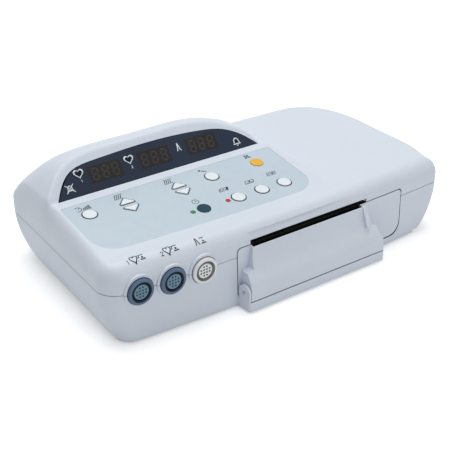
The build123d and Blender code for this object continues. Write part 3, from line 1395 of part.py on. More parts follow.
def data_socket(face):
    """Nine-way socket: body behind the wall, flange, and the raised nose with its contacts."""
    half_w = DATA_BODY[0] / 2
    half_h = DATA_BODY[1] / 2
    back = face - DATA_DEPTH
    socket = box(DATA_X - half_w, DATA_X + half_w, back, face, INLET_Z - half_h, INLET_Z + half_h)
    nose_y = face + DATA_FLANGE[2]
    half_w, half_h = DATA_FLANGE[0] / 2, DATA_FLANGE[1] / 2
    socket += box(DATA_X - half_w, DATA_X + half_w, face, nose_y, INLET_Z - half_h, INLET_Z + half_h)
    half_w, half_h = DATA_NOSE[0] / 2, DATA_NOSE[1] / 2
    front = nose_y + DATA_NOSE[2]
    socket += box(DATA_X - half_w, DATA_X + half_w, nose_y, front, INLET_Z - half_h, INLET_Z + half_h)
    for row, count in enumerate((5, 4)):
        z = INLET_Z + (0.5 - row) * CONTACT_ROW_PITCH
        for i in range(count):
            x = DATA_X + (i - (count - 1) / 2) * CONTACT_PITCH
            socket -= rod_y(nose_y, front, x, z, CONTACT_RADIUS)
    return socket


# Feet and screws

def foot_recesses():
    return Part() + [rod_z(0, PLINTH_Z + FOOT_RECESS, x, y, FOOT_RADIUS + FIT_GAP) for x, y in FEET]


def screw_holes():
    """Stepped holes for the case screws, from below."""
    heads = [rod_z(0, SCREW_HEAD_Z, x, y, SCREW_HEAD_RADIUS + PIECE_GAP) for x, y in POSTS]
    return Part() + heads + post_bores(SCREW_HEAD_Z - 1, PARTING_Z + 1, POST_BORE)


def build_feet_and_screws():
    feet = [rod_z(0, PLINTH_Z + FOOT_RECESS, x, y, FOOT_RADIUS) for x, y in FEET]
    feet = [chamfer(foot.edges().sort_by(Axis.Z)[0], FOOT_CHAMFER) for foot in feet]
    PARTS["rubber_feet"] = Compound(children=feet)
    screws = []
    for x, y in POSTS:
        head = rod_z(SCREW_HEAD_Z - SCREW_HEAD_HEIGHT, SCREW_HEAD_Z, x, y, SCREW_HEAD_RADIUS)
        screws.append(head + rod_z(SCREW_HEAD_Z, PARTING_Z + SCREW_REACH, x, y, SCREW_SHANK))
    PARTS["case_screws"] = Compound(children=screws)
    small = []
    main_board = board_corners(MAIN_BOARD_X, MAIN_BOARD_Y)
    small += [floor_screw(x, y, MAIN_BOARD_Z + BOARD_THICKNESS) for x, y in main_board]
    supply_board = board_corners(SUPPLY_X, SUPPLY_Y)
    small += [floor_screw(x, y, SUPPLY_Z + BOARD_THICKNESS) for x, y in supply_board]
    small += [floor_screw(x, y, CHASSIS_Z + CHASSIS_SHEET) for x, y in chassis_tabs()]
    small += hung_screws(keypad_screw_places(), KEYPAD_BOARD_TOP)
    small += hung_screws(display_screw_places(), -DISPLAY_BOARD_SET_BACK)
    PARTS["board_screws"] = Compound(children=small)


build_bottom_shell()
build_top_shell()
build_keys()
build_panel()
build_display()
build_boards()
build_speaker()
build_sockets()
build_door()
build_recorder()
build_rear()
build_feet_and_screws()

os.makedirs("parts", exist_ok=True)
for name, part in PARTS.items():
    export_step(part, f"parts/{name}.step")
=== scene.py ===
import json
import math

import bpy
import numpy as np
from mathutils import Matrix


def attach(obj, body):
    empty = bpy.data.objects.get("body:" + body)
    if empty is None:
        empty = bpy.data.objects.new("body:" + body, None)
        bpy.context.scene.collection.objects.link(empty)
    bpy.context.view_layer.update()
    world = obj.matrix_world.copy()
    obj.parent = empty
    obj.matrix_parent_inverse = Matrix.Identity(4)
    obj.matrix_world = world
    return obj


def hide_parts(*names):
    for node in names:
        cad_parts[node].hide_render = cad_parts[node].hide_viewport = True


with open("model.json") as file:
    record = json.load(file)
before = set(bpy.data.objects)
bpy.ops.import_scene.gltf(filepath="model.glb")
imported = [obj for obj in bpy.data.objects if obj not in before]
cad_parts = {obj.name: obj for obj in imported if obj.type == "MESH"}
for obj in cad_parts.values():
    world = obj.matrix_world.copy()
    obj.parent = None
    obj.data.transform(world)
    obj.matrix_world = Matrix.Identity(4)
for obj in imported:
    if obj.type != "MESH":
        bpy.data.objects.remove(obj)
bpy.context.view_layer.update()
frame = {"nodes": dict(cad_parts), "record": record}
NODES = frame["nodes"]

# Lengths are worked out in millimetres and put into the meshes in metres.
MM = 0.001

# Casing in plan: edges, bow of the front and back, corner radii
CASE_LEFT = -227.6
CASE_RIGHT = 227.0
CASE_FRONT = -118.8
CASE_BACK = 139.0
FRONT_BOW = 8.0
BACK_BOW = 6.0
LEFT_TAPER = 6.6
CORNERS = {"front_left": 24.0, "front_right": 14.0, "back_right": 62.0, "back_left": 36.0}
LEAST_CORNER = 4.0

# Rounded shoulder of the upper casing: how far it reaches in on each side, and its height
SHOULDER_IN = {"front": 17.0, "right": 19.0, "back": 37.0, "left": 15.0}
SHOULDER_LOW = 68.6
SHOULDER_FADE = 60.0
TOP = 88.6
WALL = 3.0
SEAM_TOP = 59.8
SEAM_BOTTOM = 59.4
EDGE_BREAK = 0.5
STRAIGHT_FROM = 64.0

# Beside the hood the left shoulder is narrower and starts higher
LEFT_AT_HOOD = 7.0
LEFT_NARROWS = (0.0, 40.0)
RAISED_AT_HOOD = 7.0
HOOD_RAISE_STARTS = (2.0, 45.0)
HOOD_RAISE_ENDS = (105.0, 135.0)
HOOD_RAISE_X = (-215.0, -170.0)

# Along the middle of the right side the shoulder is tighter and starts higher
RIGHT_TIGHTER = 12.0
RIGHT_RAISED = 12.0
RIGHT_STARTS = (-98.0, -58.0)
RIGHT_ENDS = (30.0, 95.0)
RIGHT_RAISE_X = (190.0, 212.0)

# Panel plane and display hood
PANEL_FRONT_Y = -85.7
PANEL_FRONT_Z = 89.0
PANEL_TILT = math.radians(7.0)
PANEL_SLOPE = math.tan(PANEL_TILT)
CONSOLE_FADE = (62.0, 84.0)
CONSOLE_RUN_OUT = 27.0
DISPLAY_FOOT_Y = 22.9
DISPLAY_FOOT_Z = PANEL_FRONT_Z + (DISPLAY_FOOT_Y - PANEL_FRONT_Y) * PANEL_SLOPE
DISPLAY_ANGLE = math.radians(47.0)
HOOD_RISE = 48.4
HOOD_CREST_Y = 57.0
HOOD_BACK_RADIUS = 48.0
HOOD_BACK_TURN = math.radians(60.0)
HOOD_ARCH_X = [-226.0, -206.0, -186.0, -165.0, -80.0, 0.0, 35.0, 52.0, 66.0]
HOOD_ARCH_SHARE = [0.16, 0.58, 0.85, 0.955, 1.0, 0.94, 0.70, 0.45, 0.0]
CREST_ROUND = 3.4
FOOT_ROUND = 1.4
CONSOLE_ROUND = 1.0

# Where the grid of the casing changes its spacing: ends of the arch, foot of the display, back of the crest
GRID_X = (-150.0, 10.0, 90.0)
GRID_Y = (-80.0, 12.0, 66.0)


# Meshes

SHARP_TURN = math.radians(35.0)


def joined(parts):
    """One list of points and one of faces from separate meshes, each given as its points and faces."""
    points, faces, start = [], [], 0
    for part, part_faces in parts:
        faces += [[k + start for k in face] for face in part_faces]
        points.append(part)
        start += len(part)
    return np.concatenate(points), faces


def mesh_object(name, points, faces):
    """Object in the scene with a mesh from points in millimetres and faces."""
    mesh = bpy.data.meshes.new(name)
    mesh.from_pydata((points * MM).tolist(), [], [list(map(int, face)) for face in faces])
    made = bpy.data.objects.new(name, mesh)
    bpy.context.scene.collection.objects.link(made)
    return made


def put(name, points, faces, slot, look=None, body="housing", smooth=True):
    """Piece that rides on its body, in the finish named by look or else by the slot."""
    piece = mesh_object(name, points, faces)
    piece.data.validate()
    if smooth:
        piece.data.shade_smooth()
        piece.data.set_sharp_from_angle(angle=SHARP_TURN)
    piece.data.materials.append(MATERIALS[look or slot])
    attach(piece, body)
    return piece


def grid_faces(rows, columns, closed=False):
    """Quads of a grid of points stored row by row; closed joins the last column to the first."""
    i, j = np.meshgrid(np.arange(rows - 1), np.arange(columns if closed else columns - 1), indexing="ij")
    k = (j + 1) % columns
    a, b = i * columns + j, i * columns + k
    c, d = (i + 1) * columns + k, (i + 1) * columns + j
    return np.stack([a, b, c, d], -1).reshape(-1, 4).tolist()


def band_faces(count):
    """Quads of a closed band whose section has four points, stored section by section."""
    i = np.arange(count)
    j = (i + 1) % count
    faces = []
    for k in range(4):
        m = (k + 1) % 4
        faces += np.stack([4 * i + m, 4 * j + m, 4 * j + k, 4 * i + k], -1).tolist()
    return faces


def cut(piece, parts):
    """Takes closed prisms, each given as its points and faces, out of a piece for good."""
    cutter = mesh_object("cutter", *joined(parts))
    step = piece.modifiers.new("opening", "BOOLEAN")
    step.operation = "DIFFERENCE"
    step.solver = "EXACT"
    step.object = cutter
    bpy.context.view_layer.update()
    ready = piece.evaluated_get(bpy.context.evaluated_depsgraph_get())
    mesh = bpy.data.meshes.new_from_object(ready)
    piece.modifiers.remove(step)
    old = piece.data
    piece.data = mesh
    mesh.name = old.name
    bpy.data.meshes.remove(old)
    bpy.data.objects.remove(cutter)


def prism(near, far):
    """Closed prism between two loops of points that correspond, near running anticlockwise seen from far."""
    count = len(near)
    sides = [[i, (i + 1) % count, count + (i + 1) % count, count + i] for i in range(count)]
    ends = [list(range(count))[::-1], list(range(count, 2 * count))]
    return np.concatenate([near, far]), sides + ends


def box_corners(across, up):
    """Corners of a rectangle, anticlockwise, from its span across and its span up."""
    return [(across[0], up[0]), (across[1], up[0]), (across[1], up[1]), (across[0], up[1])]


def along_x(loop, near, far):
    """Closed prism of an outline in y and z between two places along x."""
    ends = [np.stack([np.full(len(loop), x), loop[:, 0], loop[:, 1]], -1) for x in (near, far)]
    return prism(*ends)


def along_y(loop, near, far):
    """Closed prism of an outline in x and z between two places along y."""
    ends = [np.stack([loop[:, 0], np.full(len(loop), y), loop[:, 1]], -1) for y in (near, far)]
    return prism(*ends)


def lifted(place, loop, low, high):
    """Closed prism of an outline between two lifts off a face; place turns (right, up, lift) into points."""
    return prism(place(loop[:, 0], loop[:, 1], low), place(loop[:, 0], loop[:, 1], high))


def rounded_loop(points, radii, steps=8):
    """Closed outline through the corners of a convex polygon, each rounded with an arc of its radius."""
    points = np.asarray(points, float)
    loop = []
    for i, radius in enumerate(radii):
        here, before, after = points[i], points[i - 1], points[(i + 1) % len(points)]
        u = (before - here) / np.linalg.norm(before - here)
        v = (after - here) / np.linalg.norm(after - here)
        half = math.acos(float(np.clip(u @ v, -1, 1))) / 2
        middle = here + (u + v) / np.linalg.norm(u + v) * radius / math.sin(half)
        start = here + u * radius / math.tan(half) - middle
        end = here + v * radius / math.tan(half) - middle
        turn = math.atan2(start[0] * end[1] - start[1] * end[0], start @ end)
        angle = math.atan2(start[1], start[0]) + turn * np.linspace(0, 1, steps + 1)
        loop.append(middle + radius * np.stack([np.cos(angle), np.sin(angle)], -1))
    return np.concatenate(loop)


def circle_loop(x, y, radius, count=48):
    """Circle as a closed outline, anticlockwise."""
    angle = np.arange(count) * 2 * math.pi / count
    return np.stack([x + radius * np.cos(angle), y + radius * np.sin(angle)], -1)


def smooth_step(value, low, high):
    """0 below low, 1 above high, and 3t^2 - 2t^3 of the share t between them."""
    t = np.clip((value - low) / (high - low), 0, 1)
    return t * t * (3 - 2 * t)


def smooth_max(a, b, width):
    """Larger of two heights, with a round fillet where they differ by less than width."""
    gap = np.clip(1 - np.abs(a - b) / width, 0, 1)
    return np.maximum(a, b) + width * gap * gap / 4


def smooth_min(a, b, width):
    """Smaller of two heights, with the same fillet."""
    return -smooth_max(-a, -b, width)


def spline_through(knots, values):
    """Natural cubic spline through the knots: second derivatives from the usual three-term equations."""
    x, y = np.asarray(knots, float), np.asarray(values, float)
    h = np.diff(x)
    count = len(x)
    matrix = np.eye(count)
    right = np.zeros(count)
    for i in range(1, count - 1):
        matrix[i, i - 1:i + 2] = h[i - 1], 2 * (h[i - 1] + h[i]), h[i]
        right[i] = 6 * ((y[i + 1] - y[i]) / h[i] - (y[i] - y[i - 1]) / h[i - 1])
    bend = np.linalg.solve(matrix, right)

    def value_at(at):
        """Spline at places along the knots; outside them it keeps the value of the end."""
        at = np.clip(at, x[0], x[-1])
        i = np.clip(np.searchsorted(x, at) - 1, 0, count - 2)
        a, b = (x[i + 1] - at) / h[i], (at - x[i]) / h[i]
        curve = ((a**3 - a) * bend[i] + (b**3 - b) * bend[i + 1]) * h[i] ** 2 / 6
        return a * y[i] + b * y[i + 1] + curve

    return value_at


# Height of the upper casing

hood_arch = spline_through(HOOD_ARCH_X, HOOD_ARCH_SHARE)


def panel_height(y):
    """Control panel: a plane that rises 7 degrees to the back."""
    return PANEL_FRONT_Z + (y - PANEL_FRONT_Y) * PANEL_SLOPE


def hood_share(y):
    """Share of the hood's rise: level, then a circle of 48 mm down to 60 degrees, then straight."""
    behind = np.maximum(y - HOOD_CREST_Y, 0)
    turn_end = HOOD_BACK_RADIUS * math.sin(HOOD_BACK_TURN)
    arc = HOOD_BACK_RADIUS - np.sqrt(HOOD_BACK_RADIUS**2 - np.minimum(behind, turn_end) ** 2)
    straight = np.maximum(behind - turn_end, 0) * math.tan(HOOD_BACK_TURN)
    return np.maximum(1 - (arc + straight) / HOOD_RISE, 0)


def top_height(x, y):
    """Casing seen from above without its rounded edge: the flat top, the panel plane fading into it at the
    right end, and the hood, which is the lower of its arch and of the display slope."""
    console = TOP + (panel_height(y) - TOP) * (1 - smooth_step(x, *CONSOLE_FADE))
    slope = DISPLAY_FOOT_Z + (y - DISPLAY_FOOT_Y) * math.tan(DISPLAY_ANGLE)
    arch = TOP + HOOD_RISE * np.maximum(hood_arch(x), 0) * hood_share(y)
    hood = smooth_min(slope, arch, CREST_ROUND)
    behind = smooth_step(y, DISPLAY_FOOT_Y, DISPLAY_FOOT_Y + CONSOLE_RUN_OUT)
    front = smooth_max(np.full_like(x, TOP), TOP + (console - TOP) * (1 - behind), CONSOLE_ROUND)
    return smooth_max(front, hood, FOOT_ROUND)


# Plan of the upper casing

def outline_frame(turn_in, wall):
    """Edges (left, right, front, back) and corner radii of the plan outline, drawn in by a share of the
    shoulder and by a wall."""
    left = CASE_LEFT + SHOULDER_IN["left"] * turn_in + wall
    right = CASE_RIGHT - SHOULDER_IN["right"] * turn_in - wall
    front = CASE_FRONT + SHOULDER_IN["front"] * turn_in + wall
    back = CASE_BACK - SHOULDER_IN["back"] * turn_in - wall
    radii = {}
    for corner, radius in CORNERS.items():
        end, side = corner.split("_")
        drawn = (SHOULDER_IN[end] + SHOULDER_IN[side]) / 2 * turn_in + wall
        radii[corner] = max(radius - drawn, LEAST_CORNER)
    return (left, right, front, back), radii


def left_edge(left, y):
    """Left edge at y: it slants in to the back."""
    length = CASE_BACK - BACK_BOW - CASE_FRONT - FRONT_BOW
    return left + LEFT_TAPER * (y - (CASE_FRONT + FRONT_BOW)) / length


def bowed(edge, bow, left, right, x):
    """Front or back edge at x: a shallow parabola that stands out by bow in the middle."""
    return edge + bow * ((2 * x - left - right) / (right - left)) ** 2


def edge_at(side, edges, along):
    """x of the left or right edge at y, or y of the front or back edge at x."""
    left, right, front, back = edges
    if side == "left":
        return left_edge(left, along)
    if side == "right":
        return np.full_like(along, right)
    edge, bow = (front, FRONT_BOW) if side == "front" else (back, -BACK_BOW)
    return bowed(edge, bow, left, right, along)


def plan_grid(s, t, wall):
    """Inside of the shoulder as a grid. s and t are shares of the way from the left and the front edge; the
    square at each corner is mapped to a quarter disc by (a sqrt(1 - b^2/2), b sqrt(1 - a^2/2))."""
    edges, radii = outline_frame(1.0, wall)
    left, right, front, back = edges
    x = left + (right - left) * s
    y = front + (back - front) * t
    x_left, x_right = edge_at("left", edges, y), edge_at("right", edges, y)
    x = x_left + (x_right - x_left) * ((x - left) / (right - left))
    y_front, y_back = edge_at("front", edges, x), edge_at("back", edges, x)
    y = y_front + (y_back - y_front) * ((y - front) / (back - front))
    for corner, radius in radii.items():
        end, side = corner.split("_")
        dx = x - x_left if side == "left" else x_right - x
        dy = y - y_front if end == "front" else y_back - y
        a, b = 1 - dx / radius, 1 - dy / radius
        inside = (a > 0) & (b > 0)
        a, b = np.clip(a, 0, 1), np.clip(b, 0, 1)
        move_x = radius * (a - a * np.sqrt(1 - b * b / 2))
        move_y = radius * (b - b * np.sqrt(1 - a * a / 2))
        x = np.where(inside, x + (move_x if side == "left" else -move_x), x)
        y = np.where(inside, y + (move_y if end == "front" else -move_y), y)
    return x, y


def narrow_left(x, y, turn_in):
    """Draws the left shoulder in to a narrower one beside the hood, fading out towards the middle."""
    less = (SHOULDER_IN["left"] - LEFT_AT_HOOD) * smooth_step(y, *LEFT_NARROWS)
    edge = left_edge(CASE_LEFT + SHOULDER_IN["left"], y)
    fade = 1 - smooth_step(x, edge, edge + SHOULDER_FADE)
    return x - less * fade * turn_in


def along_right(y):
    """Share of the tighter rounding along the middle of the right side."""
    return smooth_step(y, *RIGHT_STARTS) * (1 - smooth_step(y, *RIGHT_ENDS))


def tight_right(x, y, turn_in):
    """Moves the right shoulder out to a tighter rounding along the middle of that side."""
    edge = CASE_RIGHT - SHOULDER_IN["right"]
    return x + RIGHT_TIGHTER * along_right(y) * smooth_step(x, edge - SHOULDER_FADE, edge) * turn_in


def raised(x, y):
    """How much higher the rounding starts: beside the hood's left end, and along the middle of the right."""
    at_hood = smooth_step(y, *HOOD_RAISE_STARTS) * (1 - smooth_step(y, *HOOD_RAISE_ENDS))
    at_hood = RAISED_AT_HOOD * at_hood * (1 - smooth_step(x, *HOOD_RAISE_X))
    return at_hood, RIGHT_RAISED * along_right(y) * smooth_step(x, *RIGHT_RAISE_X)


def spaced(start, *spans):
    """Places along a line from start; each span is its end and its number of steps."""
    starts = [start] + [end for end, steps in spans]
    rows = [np.linspace(a, b, steps, endpoint=False) for a, (b, steps) in zip(starts, spans)]
    return np.concatenate(rows + [starts[-1:]])


def plan_spacing():
    """Columns and rows of the grid as shares of the span, close together where the surface turns."""
    (left, right, front, back), radii = outline_frame(1.0, 0.0)
    columns = spaced(
        left, (left + radii["front_left"], 6), (left + radii["back_left"], 6), (GRID_X[0], 20),
        (GRID_X[1], 40), (GRID_X[2], 48), (right - radii["back_right"], 16),
        (right - radii["front_right"], 8), (right, 5))
    rows = spaced(
        front, (front + radii["front_right"], 4), (front + radii["front_left"], 3), (GRID_Y[0], 7),
        (GRID_Y[1], 28), (GRID_Y[2], 54), (back - radii["back_right"], 3), (back - radii["back_left"], 8),
        (back, 12))
    return (columns - left) / (right - left), (rows - front) / (back - front)


def border_order(rows, columns):
    """Indices of the grid's border, anticlockwise seen from above, from the front left corner."""
    grid = np.arange(rows * columns).reshape(rows, columns)
    return np.concatenate([grid[0, :-1], grid[:-1, -1], grid[-1, :0:-1], grid[:0:-1, 0]])


CORNERS_OF = {"front": ("front_left", "front_right"), "back": ("back_left", "back_right"),
              "left": ("front_left", "back_left"), "right": ("front_right", "back_right")}
TOUCH = 1e-6


def corner_centres(share, wall):
    """Centre and radius of each corner at a share of the shoulder, and the edges there. The edges slant and
    bow, so each centre is found by stepping."""
    edges, radii = outline_frame(share, wall)
    found = {}
    for corner, radius in radii.items():
        end, side = corner.split("_")
        in_x = -radius if side == "right" else radius
        in_y = radius if end == "front" else -radius
        y = (edges[2] if end == "front" else edges[3]) + in_y
        for step in range(3):
            x = edge_at(side, edges, y) + in_x
            y = edge_at(end, edges, x) + in_y
        found[corner] = (x, y, radius)
    return found, edges


def drawn_out(x, y, wall, turn_in):
    """Moves border points of the inner outline out to the outline at another share of the shoulder: a point
    of a side keeps its share between the corner centres, and a point of a corner keeps its angle."""
    inner = corner_centres(1.0, wall)[0]
    outer, edges = corner_centres(turn_in, wall)
    new = [x.copy(), y.copy()]
    done = np.zeros(len(x), bool)
    for corner, (from_x, from_y, _) in inner.items():
        end, side = corner.split("_")
        way_x = -1 if side == "left" else 1
        way_y = -1 if end == "front" else 1
        here = ((x - from_x) * way_x >= -TOUCH) & ((y - from_y) * way_y >= -TOUCH)
        to_x, to_y, radius = outer[corner]
        angle = np.arctan2(y - from_y, x - from_x)
        new[0] = np.where(here, to_x + radius * np.cos(angle), new[0])
        new[1] = np.where(here, to_y + radius * np.sin(angle), new[1])
        done |= here
    for side, (low, high) in CORNERS_OF.items():
        axis = 0 if side in ("front", "back") else 1
        run, across = (x, y) if axis == 0 else (y, x)
        middle = sum(edges[2:] if axis == 0 else edges[:2]) / 2
        nearer = across < middle if side in ("front", "left") else across > middle
        first, last = inner[low][axis], inner[high][axis]
        here = ~done & nearer & (run > first) & (run < last)
        share = (run - first) / (last - first)
        along = outer[low][axis] + share * (outer[high][axis] - outer[low][axis])
        new[axis] = np.where(here, along, new[axis])
        new[1 - axis] = np.where(here, edge_at(side, edges, along), new[1 - axis])
        done |= here
    return new


SHOULDER_TURNS = np.radians(np.linspace(90.0, 0.0, 19)[1:])


def casing_skin(wall):
    """Outer or inner skin of the upper casing. The grid inside the shoulder has the height of the top; from
    its border, loops go out by 1 - cos and down by 1 - sin of the turn, then straight down to the seam."""
    x, y = plan_grid(*np.meshgrid(*plan_spacing()), wall)
    border = border_order(*x.shape)
    border_x, border_y = x.ravel()[border], y.ravel()[border]
    x_in = tight_right(narrow_left(x, y, 1.0), y, 1.0)
    points = [np.stack([x_in, y, top_height(x_in, y) - wall], -1).reshape(-1, 3)]
    faces = grid_faces(*x.shape)
    loops = []
    for turn in SHOULDER_TURNS:
        turn_in = 1 - math.cos(turn)
        ring_x, ring_y = drawn_out(border_x, border_y, wall, turn_in)
        ring_x = tight_right(narrow_left(ring_x, ring_y, turn_in), ring_y, turn_in)
        at_hood, at_right = raised(ring_x, ring_y)
        foot = SHOULDER_LOW - wall + at_hood + at_right
        height = foot + (top_height(ring_x, ring_y) - wall - foot) * math.sin(turn)
        loops.append(np.stack([ring_x, ring_y, height], -1))
    for z in (STRAIGHT_FROM, SEAM_TOP + 2 * EDGE_BREAK, SEAM_TOP + EDGE_BREAK):
        loops.append(np.stack([ring_x, ring_y, np.full_like(ring_x, z)], -1))
    if wall == 0:
        ring_x, ring_y = drawn_out(border_x, border_y, EDGE_BREAK, 0.0)
    loops.append(np.stack([ring_x, ring_y, np.full_like(ring_x, SEAM_TOP)], -1))
    last, start = border, x.size
    for loop in loops:
        ring = start + np.arange(len(border))
        faces += np.stack([last, ring, np.roll(ring, -1), np.roll(last, -1)], -1).tolist()
        points.append(loop)
        last = ring
        start += len(border)
    return np.concatenate(points), faces, last


def upper_casing():
    """Outer skin, inner skin turned over, and the rim that joins them at the seam."""
    outer, outer_faces, outer_rim = casing_skin(0.0)
    inner, inner_faces, inner_rim = casing_skin(WALL)
    points, faces = joined([(outer, outer_faces), (inner, [face[::-1] for face in inner_faces])])
    inner_rim = inner_rim + len(outer)
    faces += np.stack([outer_rim, inner_rim, np.roll(inner_rim, -1), np.roll(outer_rim, -1)], -1).tolist()
    return put("upper_casing", points, faces, "shell_plastic")


# Openings of the upper casing

DOOR_X = (-76.9, 160.0)
DOOR_Z = (12.0, 70.6)
DOOR_CORNERS = [5.0, 15.0, 5.0, 5.0]
DOOR_CUT_LOW = 50.0
DOOR_CUT_CORNER = 5.0
DOOR_CUT_BACK = -102.8
CUT_FRONT = -140.0
CUT_OVER = 6.0
SLOT_X = (-59.6, 103.3)
SLOT_Z = (67.6, 74.3)
SLOT_CUT_BACK = -94.8
VISOR = [(-140.0, 72.0), (-117.31, 72.0), (-113.2, 82.4), (-140.0, 82.4)]
OVERLAY_X = (-210.5, 61.0)
OVERLAY_Y = (-83.0, 11.3)
OVERLAY_RECESS = 0.6
WINDOW_GAP = 0.2
KEY_RADIUS = 7.5
KEY_GAP = 0.3
KEY_HOLE_LOW = -7.0
LAMP_RADIUS = 2.8
ROW_BACK = -11.0
ROW_FRONT = -59.0
SOCKETS_X = (-190.8, -154.1, -117.4)
SOCKET_Z = 59.4
SOCKET_BORE = 12.35
FLANGE_BORE = 14.9
FLANGE_GAP = 0.1
FLANGE_CUT = (30.0, -20.0)
SEAT_RADIUS = 18.2
SEAT_DEPTH = 5.4
SEAT_PROUD = 0.8
OPENING_SHARP = math.radians(28.0)
ROUND_KEYS = {
    "volume_key": (-188.0, ROW_BACK), "test_key": (-34.3, ROW_BACK), "alarm_silence_key": (28.3, ROW_BACK),
    "power_key": (-77.5, ROW_FRONT), "record_key": (-32.1, ROW_FRONT), "mark_key": (-0.4, ROW_FRONT),
    "paper_feed_key": (30.7, ROW_FRONT),
}
ARROW_PAIRS = {"setting": (-143.0, -15.2), "reference": (-78.0, -15.2)}
LAMPS = {"power_lamp": (-91.5, ROW_FRONT), "record_lamp": (-46.1, ROW_FRONT)}
PANEL_COS = math.cos(PANEL_TILT)
PANEL_SIN = math.sin(PANEL_TILT)


def on_panel(x, y, up):
    """Points at x, y as seen from above on the panel, lifted along its normal."""
    x, y = np.broadcast_arrays(np.asarray(x, float), np.asarray(y, float))
    return np.stack([x, y - up * PANEL_SIN, panel_height(y) + up * PANEL_COS], -1)


def on_slope(x, v, up):
    """Points at x and v up the display slope, lifted along its normal."""
    x, v = np.broadcast_arrays(np.asarray(x, float), np.asarray(v, float))
    c, s = math.cos(DISPLAY_ANGLE), math.sin(DISPLAY_ANGLE)
    return np.stack([x, DISPLAY_FOOT_Y + v * c - up * s, DISPLAY_FOOT_Z + v * s + up * c], -1)


def panel_outline(place, loop):
    """Outline drawn in the panel's own plane round a place, given as x and y seen from above."""
    return loop * (1.0, PANEL_COS) + place


ARROW_HALF = 9.2
ARROW_FOOT = 2.8
ARROW_TIP = 12.2
ARROW_MIDDLE = 5.9
ARROW_REACH = 3.1
ARROW_CORNER = 1.0


def arrow_loop(up, grow):
    """Triangle with rounded corners that points to the back or the front, grown all round."""
    sign = 1 if up else -1
    foot, tip = sign * ARROW_FOOT, sign * ARROW_TIP
    corners = np.array([(-ARROW_HALF, foot), (ARROW_HALF, foot), (0.0, tip)])
    if not up:
        corners = corners[::-1]
    middle = np.array([0.0, sign * ARROW_MIDDLE])
    grown = corners + (corners - middle) * (grow / ARROW_REACH)
    return rounded_loop(grown, [ARROW_CORNER + grow] * 3, 6)


def key_loops(grow):
    """Place and outline of every key, grown all round."""
    loops = {name: (place, circle_loop(0, 0, KEY_RADIUS + grow)) for name, place in ROUND_KEYS.items()}
    for pair, place in ARROW_PAIRS.items():
        loops[pair + "_up_key"] = (place, arrow_loop(True, grow))
        loops[pair + "_down_key"] = (place, arrow_loop(False, grow))
    return loops


FILM_CORNER = 28.0
FILM_BACK_CORNER = 3.0
FILM_STEPS = 6


def overlay_loop(grow):
    """Outline of the panel film as x and y seen from above. Its front edge runs along the bowed front wall.
    Each front corner is a circle that touches the side and that edge; stepping finds where it touches."""
    x0, x1 = OVERLAY_X[0] - grow, OVERLAY_X[1] + grow
    y0, y1 = OVERLAY_Y[0] - grow, OVERLAY_Y[1] + grow
    radius = FILM_CORNER + grow

    def front(x):
        """Bowed front edge at x."""
        return y0 + FRONT_BOW * (x / CASE_RIGHT) ** 2

    corners, touches = [], []
    for centre_x, start, end in ((x0 + radius, -math.pi, -math.pi / 2), (x1 - radius, -math.pi / 2, 0.0)):
        lean = 0.0
        for step in range(6):
            touch = centre_x + radius * math.sin(lean)
            lean = math.atan(2 * FRONT_BOW * touch / CASE_RIGHT**2)
        span = (start, end + lean) if start < -math.pi / 2 else (start + lean, end)
        angle = np.linspace(*span, 21)
        centre_y = front(touch) + radius * math.cos(lean)
        corners.append(np.stack([centre_x + radius * np.cos(angle), centre_y + radius * np.sin(angle)], -1))
        touches.append(touch)
    along = np.linspace(*touches, 26)[1:-1]
    edge = np.stack([along, front(along)], -1)
    box = rounded_loop(box_corners((x0, x1), (y0, y1)), [FILM_BACK_CORNER] * 4, FILM_STEPS)
    back_corners = box[2 * (FILM_STEPS + 1):]
    return np.concatenate([corners[0], edge, corners[1], back_corners])


WINDOW_X = [-206.4, -199.2, -183.0, -150.0, -82.0, -14.0, 21.0, 43.0, 55.0]
WINDOW_UP = [0.0, 11.5, 27.8, 34.8, 37.6, 34.6, 27.2, 12.6, 0.0]


def window_loop(grow):
    """Outline of the display window as (x, distance up the slope): a spline over the arch by its length."""
    x, v = np.array(WINDOW_X), np.array(WINDOW_UP)
    length = np.concatenate([[0], np.cumsum(np.hypot(np.diff(x), np.diff(v)))])
    at = np.linspace(0, length[-1], 90)
    px, pv = spline_through(length, x)(at), spline_through(length, v)(at)
    tx, tv = np.gradient(px), np.gradient(pv)
    size = np.hypot(tx, tv)
    px, pv = px - grow * tv / size, pv + grow * tx / size
    loop = np.stack([px, pv], -1)
    loop[0, 1] = loop[-1, 1] = -grow
    return loop[::-1]


def front_wall(x):
    """Bowed front wall at x, above the seam."""
    return CASE_FRONT + FRONT_BOW * (x / CASE_RIGHT) ** 2


def seat_y(x):
    """Face of the raised seat round a socket, just in front of the bowed wall."""
    return front_wall(x) - SEAT_PROUD


def through_seat(x, loop, near, far):
    """Closed prism of an outline (across, up) round a socket's axis, between two depths behind its seat."""
    return along_y(loop + (x, SOCKET_Z), seat_y(x) + near, seat_y(x) + far)


